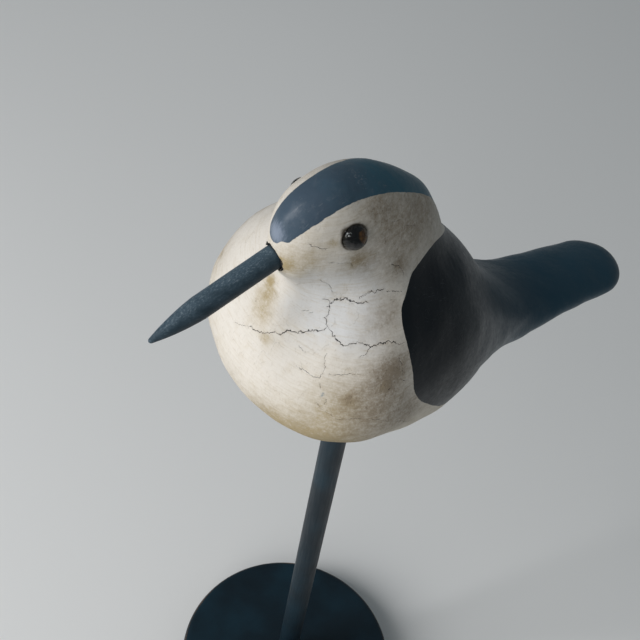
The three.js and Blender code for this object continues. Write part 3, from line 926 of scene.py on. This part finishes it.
def smooth_path(points, steps=6):
    """A curve through points, drawn as short straight pieces."""
    points = np.array(points, float)
    padded = np.concatenate([[2 * points[0] - points[1]], points, [2 * points[-1] - points[-2]]])
    t = np.linspace(0, 1, steps, endpoint=False)[:, None]
    curve = []
    for a, b, c, d in zip(padded, padded[1:], padded[2:], padded[3:]):
        square = 2 * a - 5 * b + 4 * c - d
        cube = 3 * b - a - 3 * c + d
        curve.append(b + ((c - a) * t + square * t ** 2 + cube * t ** 3) / 2)
    return np.concatenate([*curve, points[-1:]])


def cap_distance(points):
    turn = np.arctan2(points[:, 2] - HEAD_CENTRE[1], points[:, 0] - HEAD_CENTRE[0])
    turn = np.where(turn < -1.2, turn + 2 * np.pi, turn)
    left = points[:, 1] - np.interp(turn, CAP_ANGLES, CAP_LEFT)
    right = -points[:, 1] - np.interp(turn, CAP_ANGLES, CAP_RIGHT)
    return np.maximum(left, right) * 0.9


def slanted(points):
    """Both sides of the bird as seen from one side and above, at 45 degrees."""
    return np.stack([points[:, 0], (points[:, 2] - np.abs(points[:, 1])) / math.sqrt(2)], 1)


def back_distance(points):
    """The distance to the edge of the dark back, wings and tail, negative inside it."""
    edge = np.array([BACK_START, *seen_on_skin(WING_FRONT), *WING_UNDERSIDE])
    edge = smooth_path(slanted(edge))
    place = slanted(points)
    distance = np.full(len(place), 1e9)
    for a, b in zip(edge, edge[1:]):
        offset = place - a
        t = np.clip(offset @ (b - a) / ((b - a) @ (b - a)), 0, 1)
        distance = np.minimum(distance, np.linalg.norm(offset - t[:, None] * (b - a), axis=1))
    outline = np.concatenate([edge, BACK_BEYOND])
    inside = np.zeros(len(place), bool)
    for a, b in zip(outline, np.roll(outline, -1, 0)):
        crosses = (a[1] > place[:, 1]) != (b[1] > place[:, 1])
        at = a[0] + (place[:, 1] - a[1]) / (b[1] - a[1] + 1e-12) * (b[0] - a[0])
        inside ^= crosses & (place[:, 0] < at)
    line_x, line_z = smooth_path(np.array(UNDERSIDE_LINE, float)).T
    below = (np.interp(points[:, 0], line_x, line_z) - points[:, 2]) * 0.8
    return np.maximum(np.where(inside, -distance, distance), below)


# Brown and ochre marks, each at a place seen in the picture, with its reach in millimetres and its strength.
# Most are stains. Along the wing the brown is painted shade, and low on the right the marks darken the lower
# right of the breast. The far side has the same ones, paler.
BROWN_STAINS_AND_SHADE = {
    "cheek": ((399, 232), 12.0, 0.26),
    "high_cheek": ((377, 207), 4.5, 0.32),
    "nape": ((428, 212), 10.0, 0.22),
    "under_the_eye": ((356, 257), 3.0, 0.26),
    "under_the_eye_low": ((362, 266), 3.0, 0.28),
    "before_the_eye": ((322, 258), 6.0, 0.14),
    "wing_corner": ((399, 268), 3.5, 0.35),
    "by_the_wing": ((386, 375), 5.0, 0.38),
    "by_the_wing_edge": ((402, 362), 6.0, 0.40),
    "by_the_wing_high": ((393, 311), 5.0, 0.34),
    # Painted shade beside the wing, not a stain
    "shade_along_the_wing": ((386, 334), 9.0, 0.16),
    "dark_speck": ((389, 388.5), 0.8, 0.75),
    "low_spot": ((347, 399), 1.1, 0.40),
    "low_spot_halo": ((350, 400), 5.0, 0.10),
    "low_right": ((376, 401), 13.0, 0.60),
    "belly_right": ((412, 408), 10.0, 0.45),
    "belly_low": ((360, 440), 12.0, 0.30),
    "under_the_crease": ((375, 322), 7.0, 0.18),
}
OCHRE_STAINS = {
    "bill_drip": ((270.7, 281), 1.9, 0.90),
    "bill_drip_middle": ((270, 294), 2.0, 0.42),
    "bill_drip_veil": ((264, 298), 5.5, 0.36),
    "bill_drip_low": ((261, 318), 5.0, 0.30),
    "along_the_crack": ((266, 339), 2.2, 0.50),
    "beside_the_bill": ((286, 262), 2.2, 0.50),
    "face": ((303, 262), 6.0, 0.35),
    "brow": ((334, 243), 1.5, 0.50),
    "by_the_wing": ((384, 386), 1.5, 0.80),
    "low_spot": ((347.5, 398.5), 1.4, 0.46),
    "low_spot_drip": ((353, 405), 2.4, 0.26),
    "face_speck": ((284.5, 259), 1.3, 0.55),
    "under_the_eye": ((357, 262), 3.6, 0.55),
    "belly": ((322, 440), 13.0, 0.70),
    "belly_left": ((275, 420), 10.0, 0.38),
    "left_edge": ((222, 372), 9.0, 0.18),
    "low": ((342, 406), 12.0, 0.42),
}
BLUE_SPOT = (323.6, 394.4)
BLUE_SPOT_REACH = 0.85
# The middle of the breast is painted whiter and cooler: a painted tint of light
COOL_LIGHT_PLACE = (338, 303)
COOL_LIGHT_REACH = 17.0
CAP_NICK = (282.5, 243.6)
CAP_NICK_REACH = 1.25
# The cap's front is painted lighter, as rubbed paint and a painted sheen
CAP_SHEEN_PLACE = (276, 233)
CAP_SHEEN_REACH = 4.2
CAP_SCUFF = (356, 177)
CAP_SCUFF_REACH = 4.5
GRIME_SIDE = (340.5, 229.5)
FAR_SIDE_SHARE = 0.5


def stained(points, stains):
    """How strong a table's marks are at each point: stains, and the painted shade among them."""
    amount = np.zeros(len(points))
    for pixel, reach, strength in stains.values():
        centre = seen_on_skin([pixel])[0]
        near = np.exp(-((points - centre) ** 2).sum(1) / reach ** 2)
        far = np.exp(-((points - centre * np.array([1, -1, 1])) ** 2).sum(1) / reach ** 2)
        far_share = FAR_SIDE_SHARE * smooth(abs(centre[1]), 14.0, 22.0)
        amount += strength * np.maximum(near, far_share * far)
    return amount


placed = np.array([v.co for v in body.data.vertices]) / MM
skin = onto_skin(placed, 3)
sunk = -carved_measure(placed)
mix = neck_mix(skin)
bill_gap = skin - BILL_BASE
eye_gap = np.minimum(*(np.linalg.norm(skin - centre, axis=1) for centre in eye_centres.values()))
behind_face = smooth(skin[:, 0], 34.0, 8.0)


def spot(pixel, reach):
    """1 at the place seen in a pixel, fading out over the reach in millimetres."""
    return np.exp(-((skin - seen_on_skin([pixel])[0]) ** 2).sum(1) / reach ** 2)


# A painted shadow of the gap round the bill: a dark ragged ring on the face, wider on the upper far side
beside_bill = bill_gap - (bill_gap @ bill_direction)[:, None] * bill_direction
BLOB_SIDE = np.array([0.0, -0.75, 0.66])
blob = smooth(beside_bill @ BLOB_SIDE, 2.6, 4.0)
bill_gap_shade = np.linalg.norm(beside_bill, axis=1) - BILL_DIAMETER / 2 - 0.40 * blob
in_crease = np.exp(-((mix - 0.5) / 0.22) ** 2)
round_bill = np.exp(-(np.linalg.norm(bill_gap, axis=1) / 6.0) ** 2)
# Browner and more ochre towards the bottom of the bird
low_down = smooth(skin[:, 2], 314.0, 258.0)
brown = (1 - mix) * (0.06 + 0.34 * behind_face) + 0.10 * in_crease * behind_face + 0.12 * low_down
brown += stained(skin, BROWN_STAINS_AND_SHADE)
ochre = 0.06 + 0.47 * low_down + 0.15 * round_bill + 0.14 * (1 - mix) + stained(skin, OCHRE_STAINS)
rim = 0.55 * np.exp(-((eye_gap - eye_radius) / 0.40) ** 2) + 0.25 * np.exp(-((eye_gap - eye_radius) / 1.6) ** 2)
rim += 1.6 * np.exp(-((eye_gap - eye_radius) / 0.9) ** 2) * spot(GRIME_SIDE, 1.3)
set_value(body, "cap_edge", cap_distance(skin) + spot(CAP_NICK, CAP_NICK_REACH))
set_value(body, "cap_sheen", spot(CAP_SHEEN_PLACE, CAP_SHEEN_REACH))
set_value(body, "cap_scuff", spot(CAP_SCUFF, CAP_SCUFF_REACH))
set_value(body, "cool_light_tint", spot(COOL_LIGHT_PLACE, COOL_LIGHT_REACH))
set_value(body, "bill_gap_shade", np.where(skin[:, 0] > 25, bill_gap_shade, 9.0))
set_value(body, "back_edge", back_distance(skin))
set_value(body, "crack", crack_share(skin))
set_value(body, "crack_side", np.exp(-near_cracks(skin)[0] / 0.40))
set_value(body, "brown", np.clip(brown, 0, 1))
set_value(body, "ochre", np.clip(ochre, 0, 1))
set_value(body, "grime", np.clip(rim, 0, 1))
set_value(body, "blue_spot", spot(BLUE_SPOT, BLUE_SPOT_REACH))
# Painted shade inside the holes: their walls are coloured dark
set_value(body, "hole", smooth(sunk, 0.45, 0.8))

CREAM = (0.695, 0.655, 0.598, 1)
CREAM_WARM = (0.560, 0.480, 0.360, 1)
CREAM_WHITE = (0.660, 0.655, 0.650, 1)
GREY_BROWN = (0.235, 0.185, 0.130, 1)
STROKE_BROWN = (0.105, 0.070, 0.045, 1)
OCHRE = (0.330, 0.245, 0.105, 1)
GRIME = (0.050, 0.038, 0.026, 1)
SPOT_BLUE = (0.180, 0.230, 0.260, 1)
CRACK_DARK = (0.006, 0.006, 0.006, 1)
HOLE_SHADE = (0.012, 0.012, 0.012, 1)
CAP_SLATE = (0.050, 0.076, 0.106, 1)
CAP_REFLECTION_BLUE = (0.022, 0.100, 0.145, 1)
CAP_SHEEN_AND_RUBBED = (0.230, 0.270, 0.340, 1)
BACK_BLACK = (0.0015, 0.0040, 0.0070, 1)
BACK_REFLECTION_BLUE = (0.0070, 0.0450, 0.0740, 1)
SCUFF_GREY = (0.170, 0.190, 0.215, 1)

body_paint, tree, shader, place = new_paint("cream_and_blue_black_paint")
broad = cloudy(tree, place, 16, detail=4, rough=0.55)
blotches = cloudy(tree, place, 5.5, detail=6, rough=0.62, warp=0.5)
mottles = cloudy(tree, place, 1.7, detail=5, rough=0.66)
fine = cloudy(tree, place, 0.55, detail=4, rough=0.6)
layers = cloudy(tree, place, 0.50, stretch=(12, 12, 1), detail=4, rough=0.62)
uprights = cloudy(tree, place, 0.55, stretch=(1, 1, 6), detail=3, rough=0.6)


def about_half(value, strength):
    """The value's distance from one half, times a strength."""
    return sums(tree, "MULTIPLY", sums(tree, "SUBTRACT", value, 0.5), strength)


# Cream paint, with thin streaks that run round the bird. The middle of the breast is painted whiter and
# cooler, a painted tint of the light there.
cool_light_tint = sums(tree, "ADD", read_value(tree, "cool_light_tint"), about_half(broad, 1.2))
colour = over(tree, share(tree, cool_light_tint, 0.15, 0.75), CREAM, CREAM_WHITE)
colour = over(tree, share(tree, blotches, 0.50, 0.75, 0.30), colour, CREAM_WARM)
colour = over(tree, share(tree, layers, 0.48, 0.72, 0.30), colour, CREAM_WARM)
colour = over(tree, share(tree, layers, 0.64, 0.76, 0.28), colour, GREY_BROWN)
colour = over(tree, share(tree, uprights, 0.56, 0.72, 0.18), colour, GREY_BROWN)

# Ochre and grey-brown stains, broken up by the same blotches, and short dark strokes in the brown ones. Both
# colours also grow towards the bottom of the bird, and the brown holds the painted shade along the wing.
broken = sums(tree, "ADD", sums(tree, "ADD", 1.0, about_half(blotches, 0.7)), about_half(mottles, 1.3))
broken = sums(tree, "ADD", broken, about_half(fine, 0.9))
ochre = sums(tree, "MULTIPLY", read_value(tree, "ochre"), broken)
ochre = sums(tree, "ADD", ochre, about_half(layers, 0.25))
colour = over(tree, share(tree, ochre, -0.05, 1.0, 0.88), colour, OCHRE)
brown = sums(tree, "MULTIPLY", read_value(tree, "brown"), broken)
brown = sums(tree, "ADD", brown, about_half(layers, 0.12))
colour = over(tree, share(tree, brown, 0.0, 1.0, 0.92), colour, GREY_BROWN)
strokes = sums(tree, "MULTIPLY", share(tree, uprights, 0.56, 0.70), share(tree, brown, 0.35, 0.85))
colour = over(tree, sums(tree, "MULTIPLY", strokes, 0.55), colour, STROKE_BROWN)
specks = sums(tree, "MULTIPLY", share(tree, fine, 0.66, 0.74), share(tree, blotches, 0.50, 0.66))
colour = over(tree, sums(tree, "MULTIPLY", specks, 0.35), colour, STROKE_BROWN)

# Hair cracks too fine for the mesh, the dirty sides of the open cracks, the dirt round the eyes
shift = shader_node(tree, "TexNoise", {"Vector": place, "Scale": 0.35, "Detail": 3.0}).outputs[1]
shift = shader_node(tree, "VectorMath", {0: shift, "Scale": 4.0}, operation="SCALE").outputs[0]
shifted = shader_node(tree, "VectorMath", {0: place, 1: shift}, operation="ADD").outputs[0]
cells = shader_node(tree, "TexVoronoi", {"Vector": shifted, "Scale": 0.17}, feature="DISTANCE_TO_EDGE")
hairs = share(tree, cells.outputs["Distance"], 0.010, 0.002)
hairs = sums(tree, "MULTIPLY", hairs, share(tree, blotches, 0.50, 0.62))
colour = over(tree, sums(tree, "MULTIPLY", hairs, 0.20), colour, GRIME)
crack_dirt = sums(tree, "MULTIPLY", read_value(tree, "crack_side"), share(tree, mottles, 0.35, 0.7, 0.30))
colour = over(tree, crack_dirt, colour, GREY_BROWN)
grime = sums(tree, "MULTIPLY", read_value(tree, "grime"), sums(tree, "ADD", mottles, fine))
colour = over(tree, share(tree, grime, 0.05, 0.8, 0.92), colour, GRIME)
blue = sums(tree, "ADD", read_value(tree, "blue_spot"), about_half(fine, 0.8))
colour = over(tree, share(tree, blue, 0.35, 0.8, 0.85), colour, SPOT_BLUE)

# The slate cap and the blue-black back, with hand-cut edges, cloudy bloom and scuffs. The cap's front is
# painted lighter, as rubbed paint and a painted sheen, and the cap and the back turn bluer further back,
# partly as a painted reflection.
wander = about_half(mottles, 0.5)
cap = share(tree, sums(tree, "ADD", read_value(tree, "cap_edge"), wander), 0.07, -0.07)
back = share(tree, sums(tree, "ADD", read_value(tree, "back_edge"), wander), 0.09, -0.09)
scratches = cloudy(tree, place, 0.35, stretch=(9, 1, 9), detail=3, warp=0.5)
scuffs = sums(tree, "MULTIPLY", share(tree, scratches, 0.60, 0.70), share(tree, blotches, 0.50, 0.62))
bloom = sums(tree, "MULTIPLY", share(tree, mottles, 0.45, 0.75), share(tree, blotches, 0.40, 0.70))
# The cap turns bluer further back: partly the paint's own blue, partly a painted reflection
behind = shader_node(tree, "SeparateXYZ", {0: place}).outputs[0]
rearwards = sums(tree, "ADD", behind, about_half(broad, 30.0))
slate = over(tree, share(tree, rearwards, 30.0, 0.0), CAP_SLATE, CAP_REFLECTION_BLUE)
# The cap's front painted lighter: rubbed paint and a painted sheen
rubbed = sums(tree, "ADD", read_value(tree, "cap_sheen"), about_half(uprights, 0.8))
slate = over(tree, share(tree, rubbed, 0.25, 1.0, 0.75), slate, CAP_SHEEN_AND_RUBBED)
slate = over(tree, sums(tree, "MULTIPLY", bloom, 0.34), slate, SCUFF_GREY)
slate = over(tree, sums(tree, "MULTIPLY", scuffs, 0.60), slate, SCUFF_GREY)
chips = sums(tree, "ADD", sums(tree, "MULTIPLY", read_value(tree, "cap_scuff"), 0.12), fine)
slate = over(tree, share(tree, chips, 0.68, 0.76, 0.55), slate, SCUFF_GREY)
# The back turns bluer towards the tail: partly the paint's own blue, partly a painted reflection
black = over(tree, share(tree, behind, 0.0, -90.0), BACK_BLACK, BACK_REFLECTION_BLUE)
black = over(tree, sums(tree, "MULTIPLY", bloom, 0.035), black, SCUFF_GREY)
black = over(tree, sums(tree, "MULTIPLY", scuffs, 0.14), black, SCUFF_GREY)
colour = over(tree, cap, colour, slate)
colour = over(tree, back, colour, black)
# Painted shadow of the gap round the bill
bill_gap_shade = sums(tree, "ADD", read_value(tree, "bill_gap_shade"), about_half(mottles, 2.6))
colour = over(tree, share(tree, bill_gap_shade, 0.42, 0.22), colour, HOLE_SHADE)
colour = over(tree, share(tree, read_value(tree, "crack"), 0.2, 0.6), colour, CRACK_DARK)
# Painted shade on the walls inside the holes
colour = over(tree, read_value(tree, "hole"), colour, HOLE_SHADE)
tree.links.new(colour, shader.inputs["Base Color"])

dark = sums(tree, "MAXIMUM", cap, back)
cream_gloss = shader_node(tree, "MapRange", {0: blotches, 1: 0.3, 2: 0.7, 3: 0.66, 4: 0.48}).outputs[0]
dark_gloss = shader_node(tree, "MapRange", {0: mottles, 1: 0.3, 2: 0.7, 3: 0.30, 4: 0.46}).outputs[0]
gloss = shader_node(tree, "Mix", {0: dark, 2: cream_gloss, 3: dark_gloss}, data_type="FLOAT").outputs[0]
tree.links.new(gloss, shader.inputs["Roughness"])
shader.inputs["Specular IOR Level"].default_value = DARK_GLOSS_LEVEL
surface = raised(tree, broad, 0.25)
surface = raised(tree, layers, 0.030, surface)
surface = raised(tree, mottles, 0.045, surface)
surface = raised(tree, fine, 0.022, surface)
surface = raised(tree, dark, 0.05, surface)
surface = raised(tree, sums(tree, "SUBTRACT", 1.0, hairs), 0.04, surface)
tree.links.new(surface, shader.inputs["Normal"])
body.data.materials.clear()
body.data.materials.append(body_paint)
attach(body, "root")
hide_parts("carved_body")

# Bill
# A slim dowel with its end drawn to a point, pushed into a hole in the face. It has matt slate paint with
# small worn chips, most of them on its upper side. It is coloured lighter on the upper, lit side and darker
# on the lower side, as painted light and shade, and dark where it goes into the face, as painted shade
# from the hole.
BILL_LENGTH = 42.5
BILL_POINT_LENGTH = 17.0
BILL_TIP_RADIUS = 0.6
BILL_SIDES = 56
BILL_STEP = 0.28
BILL_UNEVEN = 0.16
BILL_SLATE = (0.0560, 0.0880, 0.1150, 1)
# The dark slate is both the painted shade of the lower side and the dark flecks of the grain
BILL_DARK = (0.0150, 0.0290, 0.0400, 1)
BILL_WORN = (0.1600, 0.2000, 0.2250, 1)

bill_paint, tree, shader, place = new_paint("slate_bill_paint")
clouds = cloudy(tree, place, 2.2, stretch=(2.5, 1, 1), detail=5, rough=0.66)
grain = cloudy(tree, place, 0.45, stretch=(2, 1, 1), detail=4, rough=0.7)
# Painted light and shade: lighter on the bill's upper, lit side, darker on its lower side
bill_lit_side = sums(tree, "ADD", read_value(tree, "bill_lit_side"), about_half(clouds, 1.3))
colour = over(tree, share(tree, bill_lit_side, -0.25, 1.05), BILL_DARK, BILL_SLATE)
colour = over(tree, share(tree, grain, 0.50, 0.36, 0.40), colour, BILL_DARK)
worn = sums(tree, "MULTIPLY", share(tree, grain, 0.53, 0.64), share(tree, bill_lit_side, 0.15, 0.95))
colour = over(tree, sums(tree, "MULTIPLY", worn, 0.80), colour, BILL_WORN)
# Painted shade where the bill goes into the hole in the face
base_shade = sums(tree, "ADD", read_value(tree, "bill_base"), about_half(grain, 1.2))
colour = over(tree, share(tree, base_shade, 0.45, 0.90, 0.80), colour, HOLE_SHADE)
tree.links.new(colour, shader.inputs["Base Color"])
gloss = shader_node(tree, "MapRange", {0: grain, 1: 0.3, 2: 0.7, 3: 0.40, 4: 0.62}).outputs[0]
tree.links.new(gloss, shader.inputs["Roughness"])
shader.inputs["Specular IOR Level"].default_value = DARK_GLOSS_LEVEL
surface = raised(tree, clouds, 0.16)
surface = raised(tree, grain, 0.10, surface)
tree.links.new(surface, shader.inputs["Normal"])
bill_length = BILL_IN_HEAD + BILL_LENGTH
bill = grown("painted_bill", dowel, {
    "Diameter": BILL_DIAMETER * MM,
    "Straight Length": (bill_length - BILL_POINT_LENGTH) * MM,
    "Point Length": BILL_POINT_LENGTH * MM,
    "Tip Radius": BILL_TIP_RADIUS * MM,
    "Unevenness": BILL_UNEVEN * MM,
    "Seed": 8.0,
    "Sides": BILL_SIDES,
    "Steps": round(bill_length / BILL_STEP),
    "Paint": bill_paint,
})
bill_turn = Vector((0, 0, 1)).rotation_difference(Vector(bill_direction)).to_matrix().to_4x4()
bill_start = Vector((BILL_BASE - BILL_IN_HEAD * bill_direction) * MM)
bill.data.transform(Matrix.Translation(bill_start) @ bill_turn)
bill_places = np.array([v.co for v in bill.data.vertices]) / MM - BILL_BASE
# The side of the bill that faces the light, for its painted light and shade
lit_upper_side = np.array([0.117, -0.893, 0.435])
set_value(bill, "bill_lit_side", 0.5 + bill_places @ lit_upper_side / BILL_DIAMETER)
# Where the bill goes into the face, for its painted shade
set_value(bill, "bill_base", smooth(bill_places @ bill_direction, 1.4, -1.4))
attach(bill, "root")
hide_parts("bill")

# Glass eyes
# Each eye is a bead of clear glass let into the side of the head. The bead's core is black, with an amber
# side towards the tail, and shows through the glass around it.
GLASS_COAT = 0.55
AMBER_HEADING = (-0.44, 0.74, 0.51)
AMBER_REACH = math.radians(36)
AMBER = (0.130, 0.056, 0.006, 1)
AMBER_DEEP = (0.045, 0.018, 0.003, 1)
CORE_BLACK = (0.002, 0.002, 0.002, 1)

eye_glass = bpy.data.materials.new("clear_eye_glass")
eye_glass.use_nodes = True
glass = eye_glass.node_tree.nodes["Principled BSDF"]
glass.inputs["Base Color"].default_value = (1, 1, 1, 1)
glass.inputs["Roughness"].default_value = 0.02
glass.inputs["IOR"].default_value = 1.5
glass.inputs["Specular IOR Level"].default_value = 0.5
glass.inputs["Transmission Weight"].default_value = 1.0
place = shader_node(eye_glass.node_tree, "TexCoord").outputs["Object"]
place = shader_node(eye_glass.node_tree, "Mapping", {0: place, "Scale": (1000, 1000, 1000)}).outputs[0]
pits = cloudy(eye_glass.node_tree, place, 0.5, detail=3)
eye_glass.node_tree.links.new(raised(eye_glass.node_tree, pits, 0.17), glass.inputs["Normal"])

core_paint, tree, shader, place = new_paint("eye_core_paint")
fibres = cloudy(tree, place, 0.7, detail=3)
from_amber = sums(tree, "ADD", read_value(tree, "from_amber"), about_half(fibres, 0.5))
colour = over(tree, share(tree, fibres, 0.35, 0.65), AMBER, AMBER_DEEP)
colour = over(tree, share(tree, from_amber, 0.75, 1.08), colour, CORE_BLACK)
tree.links.new(colour, shader.inputs["Base Color"])
shader.inputs["Roughness"].default_value = 0.6
shader.inputs["Specular IOR Level"].default_value = 0.0


def ball(name, centre, radius, rings, sides):
    """A closed round ball of rings from its lower to its upper pole."""
    arc = np.linspace(-np.pi / 2, np.pi / 2, rings)[1:-1]
    outline = [(radius * math.cos(a), radius * math.sin(a)) for a in arc]
    made = lathe(name, [(0, -radius), *outline, (0, radius)], sides)
    made.data.transform(Matrix.Translation(Vector(centre * MM)))
    return made


for side, centre in eye_centres.items():
    eye = ball(f"{side}_glass_eye", centre, eye_radius, 34, 64)
    eye.data.materials.append(eye_glass)
    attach(eye, "root")
    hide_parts(f"{side}_eye")
    core = ball(f"{side}_eye_core", centre, eye_radius - GLASS_COAT, 34, 64)
    spots = np.array([v.co for v in core.data.vertices]) / MM - centre
    heading = np.array(AMBER_HEADING) * [1, np.sign(centre[1]), 1]
    heading /= np.linalg.norm(heading)
    angle = np.arccos(np.clip(spots @ heading / np.linalg.norm(spots, axis=1), -1, 1))
    set_value(core, "from_amber", angle / AMBER_REACH)
    core.data.materials.append(core_paint)
    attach(core, "root")

# Floor and light
# A plain pale floor that the foot stands on. One broad soft light stands before the bird's right breast and
# a tall narrow one further round, which shines in the glass eye, in an evenly lit, cool room.
FLOOR_SIZE = 6000.0
FLOOR_PALE = (0.80, 0.80, 0.79, 1)
FLOOR_PALER = (0.84, 0.84, 0.83, 1)
ROOM_LIGHT = (0.84, 0.94, 1.00, 1)
ROOM_STRENGTH = 0.20
LIGHT_DISTANCE = 1100.0
LIGHTS = {
    "broad_light": {
        "direction": -0.62 * camera_right + 0.13 * camera_down - 0.74 * camera_forward,
        "size": (1300.0, 1100.0),
        "power": 8.7,
        "tint": (1.0, 0.99, 0.97),
        "mirrored": False,
    },
    "tall_light": {
        "direction": -0.79 * camera_right - 0.14 * camera_down - 0.60 * camera_forward,
        "size": (300.0, 800.0),
        "power": 6.3,
        "tint": (0.98, 0.98, 1.0),
        "mirrored": True,
    },
}
LIT_PLACE = np.array([5.0, 0.0, 300.0])

half = FLOOR_SIZE / 2
floor = mesh_of("floor", [(-half, -half, 0), (half, -half, 0), (half, half, 0), (-half, half, 0)], [(0, 1, 2, 3)])
floor_paint, tree, shader, place = new_paint("pale_floor")
tone = share(tree, cloudy(tree, place, 400, detail=2), 0.3, 0.7, 0.5)
tree.links.new(over(tree, tone, FLOOR_PALE, FLOOR_PALER), shader.inputs["Base Color"])
shader.inputs["Roughness"].default_value = 0.85
floor.data.materials.append(floor_paint)

world = bpy.data.worlds.new("room")
world.use_nodes = True
world.node_tree.nodes["Background"].inputs["Color"].default_value = ROOM_LIGHT
world.node_tree.nodes["Background"].inputs["Strength"].default_value = ROOM_STRENGTH
bpy.context.scene.world = world
bpy.context.scene.view_settings.view_transform = "Standard"

for name, given in LIGHTS.items():
    lamp = bpy.data.lights.new(name, "AREA")
    lamp.shape = "RECTANGLE"
    lamp.size = given["size"][0] * MM
    lamp.size_y = given["size"][1] * MM
    lamp.energy = given["power"]
    lamp.color = given["tint"]
    light = bpy.data.objects.new(name, lamp)
    direction = given["direction"] / np.linalg.norm(given["direction"])
    light.location = Vector((LIT_PLACE + direction * LIGHT_DISTANCE) * MM)
    light.rotation_euler = Vector(direction).to_track_quat("Z", "Y").to_euler()
    light.visible_camera = False
    light.visible_glossy = given["mirrored"]
    bpy.context.scene.collection.objects.link(light)
